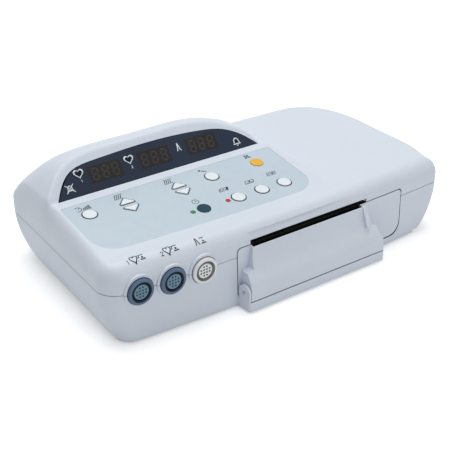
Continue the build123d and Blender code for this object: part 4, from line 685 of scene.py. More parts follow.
def openings(casing):
    """Takes out the door, the window, the paper slot, the facet over it, the film's recess, the flange bores
    and the holes of keys and lamps."""
    door = rounded_loop(box_corners(DOOR_X, (DOOR_CUT_LOW, DOOR_Z[1])), [DOOR_CUT_CORNER] * 4)
    cut(casing, [along_y(door, DOOR_CUT_BACK, CUT_FRONT),
                 lifted(on_slope, window_loop(WINDOW_GAP), -CUT_OVER, CUT_OVER)])
    cut(casing, [along_y(np.array(box_corners(SLOT_X, SLOT_Z)), SLOT_CUT_BACK, CUT_FRONT)])
    facet = along_x(np.array(VISOR), *SLOT_X)
    recess = lifted(on_panel, overlay_loop(0.0), -OVERLAY_RECESS, CUT_OVER)
    flange = circle_loop(0, 0, FLANGE_BORE + FLANGE_GAP, 64)
    cut(casing, [facet, recess] + [through_seat(x, flange, *FLANGE_CUT) for x in SOCKETS_X])
    lamp = circle_loop(0, 0, LAMP_RADIUS + KEY_GAP / 2, 32)
    holes = list(key_loops(KEY_GAP).values()) + [(place, lamp) for place in LAMPS.values()]
    cut(casing, [lifted(on_panel, panel_outline(*hole), KEY_HOLE_LOW, CUT_OVER) for hole in holes])
    casing.data.shade_smooth()
    casing.data.set_sharp_from_angle(angle=OPENING_SHARP)


# Surface effects, each a node group

NUMBER, COLOUR = "NodeSocketFloat", "NodeSocketColor"


def feed(tree, node, values):
    """Gives a node its inputs by number or name; a socket is linked, anything else is set."""
    for key, value in values.items():
        if isinstance(value, bpy.types.NodeSocket):
            tree.links.new(value, node.inputs[key])
        else:
            node.inputs[key].default_value = value


def add_node(tree, kind, settings=None, **values):
    """Shader node with its settings and inputs; i0 is the first input and underscores stand for spaces."""
    made = tree.nodes.new("ShaderNode" + kind)
    for key, value in (settings or {}).items():
        setattr(made, key, value)
    feed(tree, made, {int(k[1:]) if k[1:].isdigit() else k.replace("_", " "): v for k, v in values.items()})
    return made


def arith(tree, operation, a, b, clamp=False):
    """Result of an operation on two values, kept between 0 and 1 where clamp is set."""
    made = add_node(tree, "Math", {"operation": operation, "use_clamp": clamp}, i0=a, i1=b)
    return made.outputs[0]


def times(tree, a, b, clamp=False):
    """Product of two values."""
    return arith(tree, "MULTIPLY", a, b, clamp)


def plus(tree, a, b):
    """Sum of two values."""
    return arith(tree, "ADD", a, b)


def blend_colour(tree, share, a, b, way="MIX"):
    """Colour a with a share of colour b on it."""
    made = add_node(tree, "Mix", {"data_type": "RGBA", "blend_type": way}, i0=share, i6=a, i7=b)
    return made.outputs[2]


def spread(tree, value, low, high, to_low=0.0, to_high=1.0):
    """Value spread smoothly from one range to another."""
    made = add_node(tree, "MapRange", {"interpolation_type": "SMOOTHSTEP"},
                    Value=value, From_Min=low, From_Max=high, To_Min=to_low, To_Max=to_high)
    return made.outputs[0]


def own_place(tree, scale=(1.0, 1.0, 1.0), turn=(0.0, 0.0, 0.0)):
    """Object coordinates, stretched and turned."""
    place = add_node(tree, "TexCoord").outputs["Object"]
    return add_node(tree, "Mapping", Vector=place, Scale=scale, Rotation=turn).outputs[0]


def noise(tree, place, size, detail, rough=0.5):
    """Noise of 0 to 1 at a place, with its number of octaves and their roughness."""
    made = add_node(tree, "TexNoise", Vector=place, Scale=size, Detail=detail, Roughness=rough)
    return made.outputs["Fac"]


def effect(name, inputs, outputs, wire):
    """Node group with named inputs and outputs; wire gets the tree and the inputs and returns the outputs."""
    tree = bpy.data.node_groups.new(name, "ShaderNodeTree")
    for label, kind, value in inputs:
        socket = tree.interface.new_socket(label, in_out="INPUT", socket_type=kind)
        socket.default_value = value
    for label, kind in outputs:
        tree.interface.new_socket(label, in_out="OUTPUT", socket_type=kind)
    entry = tree.nodes.new("NodeGroupInput")
    leave = tree.nodes.new("NodeGroupOutput")
    results = wire(tree, entry.outputs)
    for label, value in results.items():
        tree.links.new(value, leave.inputs[label])
    return tree


def wire_tone(tree, given):
    """Slow drift of tone over the piece with a little mottling in it."""
    place = own_place(tree)
    wide = noise(tree, place, given["Size"], 3.0, 0.55)
    fine = noise(tree, place, times(tree, given["Size"], 14.0), 2.0)
    both = plus(tree, times(tree, wide, 0.7), times(tree, fine, 0.3))
    lift = spread(tree, both, 0.32, 0.68, -1.0, 1.0)
    level = plus(tree, times(tree, lift, given["Drift"]), 1.0)
    grey = add_node(tree, "CombineColor", Red=level, Green=level, Blue=level).outputs[0]
    return {"Colour": blend_colour(tree, 1.0, given["Colour"], grey, "MULTIPLY")}


def wire_grain(tree, given):
    """Spark-eroded mould grain: rounded cells broken up by noise."""
    place = own_place(tree)
    cells = add_node(tree, "TexVoronoi", {"feature": "SMOOTH_F1"}, Vector=place, Scale=given["Size"],
                     Smoothness=0.6)
    broken = noise(tree, place, times(tree, given["Size"], 1.7), 3.0, 0.6)
    return {"Height": plus(tree, times(tree, cells.outputs["Distance"], 0.6), times(tree, broken, 0.5))}


def wire_scuffs(tree, given):
    """Fine scratches and rubbed patches: two sets of drawn-out noise, cut to thin streaks, in patches."""
    sets = []
    for turn in (0.4, 1.9):
        place = own_place(tree, (1.0, 26.0, 26.0), (turn, 0.3, turn))
        sets.append(spread(tree, noise(tree, place, given["Size"], 4.0, 0.65), 0.62, 0.70))
    where = spread(tree, noise(tree, own_place(tree), given["Size"], 2.0), 0.45, 0.70)
    return {"Mask": times(tree, arith(tree, "MAXIMUM", *sets), where), "Patch": where}


def wire_edge(tree, given):
    """Worn edges: where the surface turns within a small radius, broken up by noise."""
    soft = add_node(tree, "Bevel", {"samples": 4}, Radius=given["Radius"])
    true = add_node(tree, "NewGeometry").outputs["Normal"]
    turn = add_node(tree, "VectorMath", {"operation": "DOT_PRODUCT"}, i0=soft.outputs[0], i1=true)
    mask = spread(tree, turn.outputs["Value"], 0.995, 0.80)
    share = spread(tree, noise(tree, own_place(tree), given["Breakup"], 3.0), 0.30, 0.62, 0.25, 1.0)
    return {"Mask": times(tree, mask, share, True)}


def wire_dust(tree, given):
    """Thin dust on faces that look up, in soft drifts."""
    normal = add_node(tree, "NewGeometry").outputs["Normal"]
    up = add_node(tree, "SeparateXYZ", Vector=normal).outputs["Z"]
    where = spread(tree, noise(tree, own_place(tree), given["Size"], 4.0), 0.42, 0.66)
    return {"Mask": times(tree, spread(tree, up, 0.5, 1.0), where, True)}


TONE = effect("tone_drift", [("Colour", COLOUR, (0.5, 0.5, 0.5, 1)), ("Size", NUMBER, 8.0),
                             ("Drift", NUMBER, 0.04)], [("Colour", COLOUR)], wire_tone)
GRAIN = effect("mould_grain", [("Size", NUMBER, 1600.0)], [("Height", NUMBER)], wire_grain)
SCUFFS = effect("fine_scuffs", [("Size", NUMBER, 12.0)], [("Mask", NUMBER), ("Patch", NUMBER)], wire_scuffs)
EDGE = effect("edge_wear", [("Radius", NUMBER, 0.0007), ("Breakup", NUMBER, 60.0)], [("Mask", NUMBER)],
              wire_edge)
DUST = effect("dust_film", [("Size", NUMBER, 18.0)], [("Mask", NUMBER)], wire_dust)

SCUFF_SIZE = 14.0
DUST_SIZE = 16.0
DUST_COLOUR = (205, 203, 198)
EDGE_RADIUS = 0.0006
WORN_LIGHTER = 0.35
SCUFF_ROUGHER = 0.10
DUST_ROUGHER = 0.5
EDGE_SMOOTHER = 0.10
BUMP = 0.6
COAT_ROUGHNESS = 0.1


def use(tree, group, **values):
    """Outputs of an effect with its inputs given."""
    return add_node(tree, "Group", {"node_tree": group}, **values).outputs


def rgb(red, green, blue):
    """Linear colour from display values of 0 to 255."""
    channels = [c / 255 for c in (red, green, blue)]
    return tuple(((c + 0.055) / 1.055) ** 2.4 if c > 0.04045 else c / 12.92 for c in channels) + (1.0,)


def lighter(colour, share):
    """Colour moved towards white by a share."""
    return tuple(c + (1 - c) * share for c in colour[:3]) + (1.0,)


def darker(colour, share):
    """Colour moved towards black by a share."""
    return tuple(c * (1 - share) for c in colour[:3]) + (1.0,)


def new_material(name):
    """Material with its node tree and its shader."""
    material = bpy.data.materials.new(name)
    material.use_nodes = True
    return material, material.node_tree, material.node_tree.nodes["Principled BSDF"]


def finish(name, colour, rough=0.42, grain=1500.0, depth=0.00002, drift=0.10, wear=0.3, worn=None, metal=0.0,
           scuff=0.12, dust=0.10, specular=0.5, coat=0.0, sheen=0.0, tone_size=8.0, pattern=None):
    """Moulded, coated or metal finish: tone drift, grain, scuffs, worn edges and dust, each by its amount.
    pattern may change the colour, the height and the roughness before the wear goes on."""
    material, tree, shader = new_material(name)
    worn_colour = rgb(*worn) if worn else lighter(rgb(*colour), WORN_LIGHTER)
    tone = use(tree, TONE, Colour=rgb(*colour), Size=tone_size, Drift=drift)["Colour"]
    height = use(tree, GRAIN, Size=grain)["Height"]
    if pattern:
        tone, height, rough = pattern(tree, tone, height, rough)
    scuffs = use(tree, SCUFFS, Size=SCUFF_SIZE)
    edge = use(tree, EDGE, Radius=EDGE_RADIUS)["Mask"]
    film = use(tree, DUST, Size=DUST_SIZE)["Mask"]
    for mask, amount, over in ((edge, wear, worn_colour), (scuffs["Mask"], scuff, worn_colour),
                               (film, dust, rgb(*DUST_COLOUR))):
        tone = blend_colour(tree, times(tree, mask, amount), tone, over)
    rough = plus(tree, rough, times(tree, scuffs["Patch"], SCUFF_ROUGHER))
    rough = plus(tree, rough, times(tree, film, DUST_ROUGHER * dust))
    rough = arith(tree, "SUBTRACT", rough, times(tree, edge, EDGE_SMOOTHER), True)
    bump = add_node(tree, "Bump", Height=height, Strength=BUMP, Distance=depth).outputs[0]
    feed(tree, shader, {"Base Color": tone, "Roughness": rough, "Normal": bump, "Metallic": metal,
                        "Specular IOR Level": specular, "Coat Weight": coat, "Coat Roughness": COAT_ROUGHNESS,
                        "Sheen Weight": sheen})
    return material


def streaks(scale, amount):
    """Pattern of drawn or brushed metal: noise stretched along one way changes height and roughness."""
    def pattern(tree, tone, height, rough):
        """Tone, height and roughness with the streaks in them."""
        fine = noise(tree, own_place(tree, scale), 1.0, 3.0)
        tone = blend_colour(tree, times(tree, fine, 0.25), tone, (0.25, 0.25, 0.26, 1))
        return tone, plus(tree, times(tree, height, 0.3), fine), plus(tree, rough, times(tree, fine, amount))
    return pattern


def board_tracks(tree, tone, height, rough):
    """Printed board: rows of copper tracks under green lacquer, with bright round pads among them."""
    place = own_place(tree)
    rows = add_node(tree, "TexBrick", {"offset": 0.5, "squash": 0.7, "squash_frequency": 3},
                    Vector=place, Scale=1.0, Mortar_Size=0.00022, Brick_Width=0.009, Row_Height=0.0016,
                    Color1=(1, 1, 1, 1), Color2=(0.6, 0.6, 0.6, 1), Mortar=(0, 0, 0, 1))
    dots = add_node(tree, "TexVoronoi", {"feature": "F1"}, Vector=place, Scale=260.0)
    pads = spread(tree, dots.outputs["Distance"], 0.26, 0.20)
    track = spread(tree, rows.outputs["Fac"], 0.3, 0.7)
    tone = blend_colour(tree, times(tree, track, 0.55), tone, rgb(70, 130, 74))
    tone = blend_colour(tree, times(tree, pads, 0.8), tone, rgb(196, 200, 196))
    return tone, plus(tree, height, times(tree, track, 2.0)), rough


def tape_turns(tree, tone, height, rough):
    """Winding under tape: bands along the coil with a lap every few millimetres."""
    wave = add_node(tree, "TexWave", {"wave_type": "BANDS", "bands_direction": "Z"},
                    Vector=own_place(tree), Scale=70.0, Distortion=0.6, Detail=2.0)
    band = wave.outputs["Fac"]
    tone = blend_colour(tree, times(tree, band, 0.35), tone, rgb(228, 206, 120))
    return tone, plus(tree, height, times(tree, band, 3.0)), rough


def pressed_fibres(tree, tone, height, rough):
    """Pressed paper of the cone: short crossed fibres."""
    fibre = noise(tree, own_place(tree, (900.0, 160.0, 500.0), (0.5, 0.2, 0.8)), 1.0, 5.0)
    tone = blend_colour(tree, spread(tree, fibre, 0.45, 0.65, 0.0, 0.4), tone, rgb(96, 92, 86))
    return tone, plus(tree, height, fibre), rough


def core_sheets(tree, tone, height, rough):
    """Stacked core sheets: thin dark joints between them along Y."""
    wave = add_node(tree, "TexWave", {"wave_type": "BANDS", "bands_direction": "Y"},
                    Vector=own_place(tree), Scale=320.0, Distortion=0.2)
    band = spread(tree, wave.outputs["Fac"], 0.0, 0.25)
    tone = blend_colour(tree, band, darker(rgb(92, 96, 102), 0.5), tone)
    return tone, plus(tree, height, times(tree, band, 2.0)), rough


def film_emboss(tree, tone, height, rough):
    """Printed polyester film: very fine emboss under a satin print with slight mottling."""
    place = own_place(tree)
    dots = add_node(tree, "TexVoronoi", {"feature": "F1"}, Vector=place, Scale=2600.0)
    mottle = spread(tree, noise(tree, place, 420.0, 2.0), 0.35, 0.65, 0.0, 0.10)
    tone = blend_colour(tree, mottle, tone, rgb(150, 176, 190))
    return tone, plus(tree, times(tree, dots.outputs["Distance"], 0.7), height), rough


def rubber_pores(tree, tone, height, rough):
    """Ground rubber: fine pores."""
    pores = noise(tree, own_place(tree), 2200.0, 4.0)
    tone = blend_colour(tree, spread(tree, pores, 0.5, 0.7, 0.0, 0.3), tone, rgb(70, 70, 72))
    return tone, plus(tree, height, pores), rough


def inside_painted_shade(tree, tone, height, rough):
    """Painted shade inside the casing: faces whose normal points to the middle of the unit are darkened to a
    dark grey, so the gaps into the casing look dark.
    """
    place = add_node(tree, "TexCoord").outputs
    where = add_node(tree, "Mapping", {"vector_type": "POINT"}, Vector=place["Object"],
                     Location=(0.0, -0.077, -1.0), Scale=(4.41, 7.7, 22.2)).outputs[0]
    turn = add_node(tree, "VectorMath", {"operation": "DOT_PRODUCT"}, i0=where, i1=place["Normal"])
    parts = add_node(tree, "SeparateXYZ", Vector=place["Object"]).outputs
    inside = spread(tree, turn.outputs["Value"], -0.2, -0.3)
    for axis, low, high in (("Y", -0.1145, -0.1135), ("Y", 0.106, 0.105), ("Z", 0.0025, 0.0035)):
        inside = times(tree, inside, spread(tree, parts[axis], low, high), axis == "Z")
    # The dark grey is painted shade on the inner faces.
    return blend_colour(tree, inside, tone, rgb(40, 42, 46)), height, rough


LAMP = dict(rough=0.26, grain=900.0, drift=0.05, wear=0.1, dust=0.02, specular=0.2, coat=0.1)
SOCKET = dict(rough=0.46, drift=0.03, dust=0.03, specular=0.2)
FINISHES = {
    # The shell finish also paints shade on the inner faces of the casing, through its pattern.
    "shell_plastic": dict(colour=(204, 212, 223), rough=0.44, depth=0.00003, drift=0.018,
                          worn=(236, 240, 244), dust=0.06, pattern=inside_painted_shade),
    "panel_film": dict(colour=(182, 197, 208), rough=0.34, depth=0.00001, drift=0.025, wear=0.4, dust=0.05,
                       pattern=film_emboss),
    "key_white": dict(colour=(218, 226, 230), rough=0.36, grain=2200.0, drift=0.02),
    "key_yellow": dict(colour=(222, 172, 34), rough=0.40, grain=2200.0, drift=0.03, specular=0.25),
    "key_teal": dict(colour=(14, 60, 78), rough=0.45, grain=2200.0, drift=0.05, wear=0.2, dust=0.02,
                     specular=0.12),
    "lamp_green": dict(LAMP, colour=(24, 132, 74)),
    "lamp_red": dict(LAMP, colour=(184, 36, 26)),
    "board": dict(colour=(36, 92, 52), rough=0.32, drift=0.06, worn=(170, 150, 92), pattern=board_tracks),
    "black_plastic": dict(colour=(34, 35, 38), wear=0.35, worn=(92, 94, 98)),
    "window_plastic": dict(colour=(24, 38, 58), rough=0.34, grain=1200.0, depth=0.000004, drift=0.05,
                           wear=0.25, worn=(92, 104, 138), scuff=0.05, dust=0.02, specular=0.25),
    "digit_plastic": dict(colour=(28, 25, 27), rough=0.28, grain=1400.0, depth=0.000006, drift=0.08, wear=0.1,
                          scuff=0.04, dust=0.01, specular=0.25),
    "socket_ring": dict(SOCKET, colour=(86, 110, 136)),
    "socket_core": dict(SOCKET, colour=(104, 138, 160)),
    "socket_white": dict(colour=(222, 224, 226), drift=0.02),
    "steel": dict(colour=(196, 198, 200), rough=0.24, metal=1.0, drift=0.05,
                  pattern=streaks((300.0, 3200.0, 3200.0), 0.12)),
    "zinc_sheet": dict(colour=(178, 182, 188), rough=0.34, metal=1.0, drift=0.12, tone_size=60.0, wear=0.4,
                       pattern=streaks((180.0, 900.0, 1400.0), 0.15)),
    "ceramic_strip": dict(colour=(222, 216, 204), rough=0.25, drift=0.05, coat=0.4),
    "aluminium_bar": dict(colour=(188, 190, 194), rough=0.30, metal=1.0, drift=0.06, wear=0.4,
                          pattern=streaks((120.0, 2600.0, 2600.0), 0.15)),
    "motor_black": dict(colour=(44, 45, 48), rough=0.38, metal=0.6, drift=0.12, wear=0.5,
                        worn=(150, 150, 152), pattern=streaks((700.0, 700.0, 240.0), 0.10)),
    "brass": dict(colour=(206, 170, 92), rough=0.26, metal=1.0, drift=0.08,
                  pattern=streaks((2400.0, 300.0, 300.0), 0.10)),
    "gear_plastic": dict(colour=(226, 222, 208), rough=0.40, drift=0.04),
    "roller_rubber": dict(colour=(38, 38, 40), rough=0.72, wear=0.2, pattern=rubber_pores),
    "core_steel": dict(colour=(112, 116, 122), metal=0.8, pattern=core_sheets),
    "winding_tape": dict(colour=(214, 184, 84), rough=0.36, drift=0.06, wear=0.2, pattern=tape_turns),
    "cone_paper": dict(colour=(52, 50, 48), rough=0.85, wear=0.2, sheen=0.2, pattern=pressed_fibres),
    "foot_rubber": dict(colour=(46, 46, 48), rough=0.78, wear=0.2, pattern=rubber_pores),
    "segment_film": dict(colour=(56, 52, 52), rough=0.34, grain=1400.0, depth=0.000006, wear=0.1, scuff=0.04,
                         dust=0.01, specular=0.2),
    # This ink finish also paints the shade in the grooves, at the core edges and in the contact holes of the
    # first two sockets.
    "print_ink": dict(colour=(20, 22, 28), rough=0.62, depth=0.000004, drift=0.12, wear=0.1, scuff=0.05,
                      dust=0.01, specular=0.12),
    # This dark finish is rubber for the slot's brush and guide, and painted shade for the strips behind the
    # door gap and the flange gaps.
    "dark_rubber": dict(colour=(12, 12, 13), rough=0.8, drift=0.12, wear=0.1, worn=(40, 40, 42), scuff=0.05,
                        dust=0.01, specular=0.08, pattern=rubber_pores),
    # This grey is painted shade in the groove and at the core's edge of the white third socket.
    "groove_grey": dict(colour=(104, 108, 102), rough=0.6, drift=0.08, wear=0.2, specular=0.15),
}
MATERIALS = {name: finish(name, **values) for name, values in FINISHES.items()}

for subpart in frame["record"]["subparts"]:
    node = NODES[subpart["node"]]
    node.data.materials.clear()
    node.data.materials.append(MATERIALS[subpart["material_slot"]])


# Pieces

casing = upper_casing()
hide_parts("top_shell")
openings(casing)

SEAT_RIM = 0.7
SEAT_EDGE = 0.2
SEAT_LEDGE = 0.9


def upper_seats():
    """Upper halves of the raised seats round the sockets. The section is a row of (radius, depth) points: a
    rounded rim, the face, the flange's bore and the ledge behind the flange, turned from 0 to 180 degrees."""
    section = [(SEAT_RADIUS, SEAT_DEPTH)]
    for a in np.radians(np.linspace(90, 0, 5)):
        section.append((SEAT_RADIUS - SEAT_RIM + SEAT_RIM * math.sin(a), SEAT_RIM - SEAT_RIM * math.cos(a)))
    section += [(FLANGE_BORE + SEAT_EDGE, 0.0), (FLANGE_BORE, SEAT_EDGE), (FLANGE_BORE, SEAT_LEDGE),
                (SOCKET_BORE, SEAT_LEDGE), (SOCKET_BORE, SEAT_DEPTH)]
    radius, depth = np.array(section).T
    low = math.asin((SEAM_TOP - SOCKET_Z) / SOCKET_BORE)
    angle = np.linspace(low, math.pi - low, 49)[:, None]
    across, up = radius * np.cos(angle), radius * np.sin(angle)
    faces = [face[::-1] for face in grid_faces(*across.shape, closed=True)]
    faces += [list(range(len(section))), list(range(across.size - len(section), across.size))[::-1]]
    seats = []
    for x in SOCKETS_X:
        grid = np.stack([x + across, np.broadcast_to(seat_y(x) + depth, across.shape), SOCKET_Z + up], -1)
        seats.append((grid.reshape(-1, 3), faces))
    put("upper_socket_seats", *joined(seats), "shell_plastic")


upper_seats()


# Printed marks. A mark is an outline drawn as (right, up) in millimetres with a line width; 0 means filled.

PRINT_LOW = -0.02
PRINT_HIGH = 0.03
LEAST_MITRE = 0.45


def line(points, width):
    """Mark: a line of even width through points."""
    return np.asarray(points, float), width


def area(points):
    """Mark: a filled outline."""
    return np.asarray(points, float), 0.0


def moved(marks, x, y, size=1.0):
    """Marks made larger and set at a place."""
    return [(points * size + (x, y), width) for points, width in marks]


def ribbon(points, width):
    """Both edges of a line of even width, mitred at its corners, and whether it closes on itself."""
    closed = bool(np.allclose(points[0], points[-1]))
    way = np.diff(points, axis=0)
    way /= np.linalg.norm(way, axis=1, keepdims=True)
    if closed:
        points, before, after = points[:-1], np.roll(way, 1, axis=0), way
    else:
        before, after = np.vstack([way[:1], way]), np.vstack([way, way[-1:]])
    mean = before + after
    mean /= np.linalg.norm(mean, axis=1, keepdims=True)
    reach = width / 2 / np.maximum((mean * after).sum(1), LEAST_MITRE)[:, None]
    normal = np.stack([-mean[:, 1], mean[:, 0]], -1)
    return points + normal * reach, points - normal * reach, closed


def ribbon_plate(outline, width, place, low, high):
    """Thin closed plate along a line of even width, between two lifts off a face."""
    left, right, closed = ribbon(outline, width)
    count = len(left)
    points = [place(side[:, 0], side[:, 1], lift) for lift in (low, high) for side in (left, right)]
    i = np.arange(count if closed else count - 1)
    j = (i + 1) % count
    low_left, low_right, top_left, top_right = (k * count for k in range(4))
    faces = []
    for a, b in ((top_right, top_left), (low_left, low_right), (top_left, low_left), (low_right, top_right)):
        faces += np.stack([a + i, a + j, b + j, b + i], -1).tolist()
    if not closed:
        end = count - 1
        faces += [[top_left, low_left, low_right, top_right],
                  [top_right + end, low_right + end, low_left + end, top_left + end]]
    return np.concatenate(points), faces


def printed(name, marks, place, slot, look=None, low=PRINT_LOW, high=PRINT_HIGH):
    """Thin closed plates for all marks as one piece; place turns (right, up, lift) into points."""
    plates = []
    for outline, width in marks:
        plates.append(ribbon_plate(outline, width, place, low, high) if width else
                      lifted(place, outline, low, high))
    put(name, *joined(plates), slot, look, smooth=False)


def arc(radius, start, end, steps=20):
    """Arc round the middle, with its ends in degrees."""
    angle = np.radians(np.linspace(start, end, steps + 1))
    return np.stack([radius * np.cos(angle), radius * np.sin(angle)], -1)


def heart_outline(height):
    """Heart: x = 16 sin^3 t, y = 13 cos t - 5 cos 2t - 2 cos 3t - cos 4t, scaled to its height."""
    t = -np.linspace(0.09, 2 * math.pi + 0.09, 41)
    x = 16 * np.sin(t) ** 3
    y = 13 * np.cos(t) - 5 * np.cos(2 * t) - 2 * np.cos(3 * t) - np.cos(4 * t)
    return np.stack([x, y + 2.5], -1) * (height / 29.0)


def bell_outline(height):
    """Bell as a closed line through straight steps, the same on both sides, scaled to its height."""
    half = [(2.5, -1.5), (1.8, -0.8), (1.6, 0.9), (1.0, 1.9), (0.0, 2.3)]
    shape = [(-2.5, -1.5)] + half + [(-x, y) for x, y in half[-2::-1]]
    return np.array(shape) * (height / 4.4)


def hump(width, height):
    """Contraction curve: a rounded hump that rises and falls steeply."""
    t = np.linspace(-1, 1, 17)
    return np.stack([t * width / 2, height * (np.exp(-((t / 0.45) ** 2)) - 0.4)], -1)


def numeral(text, height):
    """1 or 2 in lines."""
    shapes = {"1": [(-0.25, 0.3), (0.0, 0.5), (0.0, -0.5)],
              "2": [(-0.3, 0.25), (-0.15, 0.48), (0.15, 0.48), (0.3, 0.2), (-0.3, -0.5), (0.32, -0.5)]}
    return [line(np.array(shapes[text]) * height, 0.16 * height)]


def dial_and_bars():
    """Volume mark: a dial with a hand beside a stack of bars."""
    marks = [line(arc(3.4, -130, 130, 18), 0.8), line([(0, 0), (2.2, 1.8)], 0.7)]
    bars = [line([(5.2 + 1.7 * i, -2.4), (5.2 + 1.7 * i, -0.2 + 0.8 * i)], 1.2) for i in range(5)]
    return marks + bars + [line([(4.2, -3.2), (13.2, -3.2)], 0.7)]


def hatching():
    """Setting mark: slanted strokes side by side between two lines."""
    strokes = [line([(-3.8 + 1.8 * i, -2.2), (-1.8 + 1.8 * i, 2.2)], 0.9) for i in range(4)]
    return strokes + [line([(-4.8, -2.9), (3.8, -2.9)], 0.7), line([(-2.8, 2.9), (5.6, 2.9)], 0.6)]


def paper_strip(fill):
    """Slanted strip of chart paper with a trace, a marker or an arrow on it."""
    frame_line = line([(-4.8, -1.8), (3.2, -1.8), (4.8, 1.8), (-3.2, 1.8), (-4.8, -1.8)], 0.7)
    inside = {
        "trace": [line([(-3.6, -0.6), (-2.2, 0.7), (-1.0, -0.6), (0.4, 0.7), (1.6, -0.5), (3.2, 0.5)], 0.8),
                  area([(1.8, -1.6), (3.2, -1.6), (4.6, 1.6), (3.2, 1.6)])],
        "mark": [line([(-3.0, -0.8), (3.0, -0.8)], 0.7), area([(0.2, -0.8), (1.6, 1.2), (-0.8, 1.2)])],
        "feed": [line([(-3.2, 0.0), (2.4, 0.0)], 0.8), line([(0.9, 1.1), (2.6, 0.0), (0.5, -1.1)], 0.8)],
    }
    return [frame_line] + inside[fill]


LIGHT_KEYS = ("volume_key", "test_key", "record_key", "mark_key", "paper_feed_key", "setting_up_key",
              "setting_down_key", "reference_up_key", "reference_down_key")
OUTLINE_GAP = 0.5
OUTLINE_WIDTH = 1.0
FILM_TOP = -0.1
WINDOW_TOP = -0.2


def key_outlines():
    """Thin dark outline printed round each light key."""
    marks = []
    for name, hole in key_loops(KEY_GAP + OUTLINE_GAP).items():
        if name in LIGHT_KEYS:
            outline = panel_outline(*hole)
            marks.append(line(np.vstack([outline, outline[:1]]), OUTLINE_WIDTH))
    return marks


def on_film(x, y, lift):
    """Point on the panel film, lifted off it."""
    return on_panel(x, y, FILM_TOP + lift)


def on_window(x, v, lift):
    """Point on the display window, lifted off it."""
    return on_slope(x, v, WINDOW_TOP + lift)


def on_shoulder(x, y, lift):
    """On the rounded front shoulder: z = low + height sin(turn) where y is in by 17 (1 - cos(turn))."""
    x, y = np.broadcast_arrays(np.asarray(x, float), np.asarray(y, float))
    depth = SHOULDER_IN["front"]
    front = bowed(CASE_FRONT, FRONT_BOW, CASE_LEFT, CASE_RIGHT, x)
    cosine = np.clip(1 - (y - front) / depth, 0.0, 1.0)
    sine = np.sqrt(1 - cosine**2)
    rise = TOP - SHOULDER_LOW
    normal = np.stack([cosine / depth, sine / rise], -1)
    normal /= np.linalg.norm(normal, axis=-1, keepdims=True)
    z = SHOULDER_LOW + rise * sine
    return np.stack([x, y - lift * normal[..., 0], z + lift * normal[..., 1]], -1)


film_marks = key_outlines()
film_marks += moved(dial_and_bars(), -194.5, 2.2, 1.1)
film_marks += moved(hatching(), -146.5, 3.2, 1.3)
film_marks += moved(hatching(), -83.5, 3.4, 1.3)
film_marks += [area(arc(1.4, 0, 360, 16)[:-1] + (-40.5, 5.4)), line([(-40.0, 5.0), (-33.5, 0.4)], 0.9),
               area(arc(1.1, 0, 360, 12)[:-1] + (-36.5, 2.4))]
film_marks += moved([line(bell_outline(6.4), 0.8), line([(-3.6, -3.2), (3.6, 3.4)], 0.8),
                     line([(-3.6, 3.4), (3.6, -3.2)], 0.8)], 25.5, 4.4)
film_marks += moved([line(arc(3.8, 0, 360, 30), 0.65), line([(0, 2.4), (0, 0), (2.0, 0.8)], 0.65)],
                    -78.5, -44.0)
film_marks += moved(paper_strip("trace"), -38.0, -39.0, 1.4)
film_marks += moved(paper_strip("mark"), -3.5, -39.8, 1.4)
film_marks += moved(paper_strip("feed"), 28.5, -37.6, 1.4)
printed("film_marks", film_marks, on_film, "black_plastic", "print_ink")

window_lines, window_fills = [], []
for x, v, label in ((-172.3, 24.0, "1"), (-110.3, 23.8, "2")):
    window_fills += moved([area(heart_outline(8.0)[:-1])], x, v)
    window_lines += moved([area(heart_outline(10.8)[:-1])], x, v)
    window_lines += moved(numeral(label, 2.6), x + 0.6, v - 8.4)
window_fills += moved([area(bell_outline(6.6)[:-1])], 28.7, 9.8)
window_lines += moved([area(bell_outline(9.6)[:-1]), line([(-1.2, -4.6), (1.2, -4.6)], 0.9)], 28.7, 9.6)
window_fills += moved([area(bell_outline(5.2)[:-1])], -188.0, 11.2)
window_lines += moved([area(bell_outline(7.6)[:-1])], -188.0, 11.0)
window_strokes = moved([line([(-5.0, -4.6), (5.0, 4.8)], 0.8), line([(-5.0, 4.8), (5.0, -4.6)], 0.8)],
                       -188.0, 11.0)
window_lines += moved([line(hump(5.4, 8.5), 1.1)], -46.5, 21.6)
printed("window_marks", window_lines, on_window, "key_white", low=0.0, high=0.05)
printed("window_fills", window_fills, on_window, "black_plastic", "print_ink", 0.02, 0.09)
printed("window_strokes", window_strokes, on_window, "key_white", low=0.05, high=0.13)

DIGITS_X = (-141.7, -79.3, -16.2)
DIGITS_UP = 19.0
DIGIT_STEP = 12.4
DIGIT_SIZE = (6.6, 13.0)
DIGIT_LEAN = 0.08
BAR_HALF = 0.95
BAR_GAP = 0.5
PANE_HALF = (20.5, 10.0)
PANE_CORNER = 0.8


def segment_bars(x, y):
    """Seven bars of one numeral as six-cornered areas, leaning to the right."""
    half, height = DIGIT_SIZE[0] / 2, DIGIT_SIZE[1]
    runs = [[(-half, y0), (half, y0)] for y0 in (-height / 2, 0.0, height / 2)]
    runs += [[(x0, y0), (x0, y0 + height / 2)] for x0 in (-half, half) for y0 in (-height / 2, 0.0)]
    bars = []
    for start, end in np.array(runs):
        along = (end - start) / np.linalg.norm(end - start)
        side = np.array([-along[1], along[0]]) * BAR_HALF
        a, b, point = start + along * BAR_GAP, end - along * BAR_GAP, along * BAR_HALF
        shape = np.array([a, a + point - side, b - point - side, b, b - point + side, a + point + side])
        shape[:, 0] += shape[:, 1] * DIGIT_LEAN
        bars.append(area(shape + (x, y)))
    return bars


panes, numerals = [], []
for x in DIGITS_X:
    spans = [(middle - half, middle + half) for middle, half in zip((x, DIGITS_UP), PANE_HALF)]
    panes.append(area(rounded_loop(box_corners(*spans), [PANE_CORNER] * 4, 4)))
    for step in (-1, 0, 1):
        numerals += segment_bars(x + step * DIGIT_STEP, DIGITS_UP)
printed("digit_panes", panes, on_window, "digit_plastic")
printed("digit_bars", numerals, on_window, "digit_plastic", "segment_film", 0.0, 0.06)

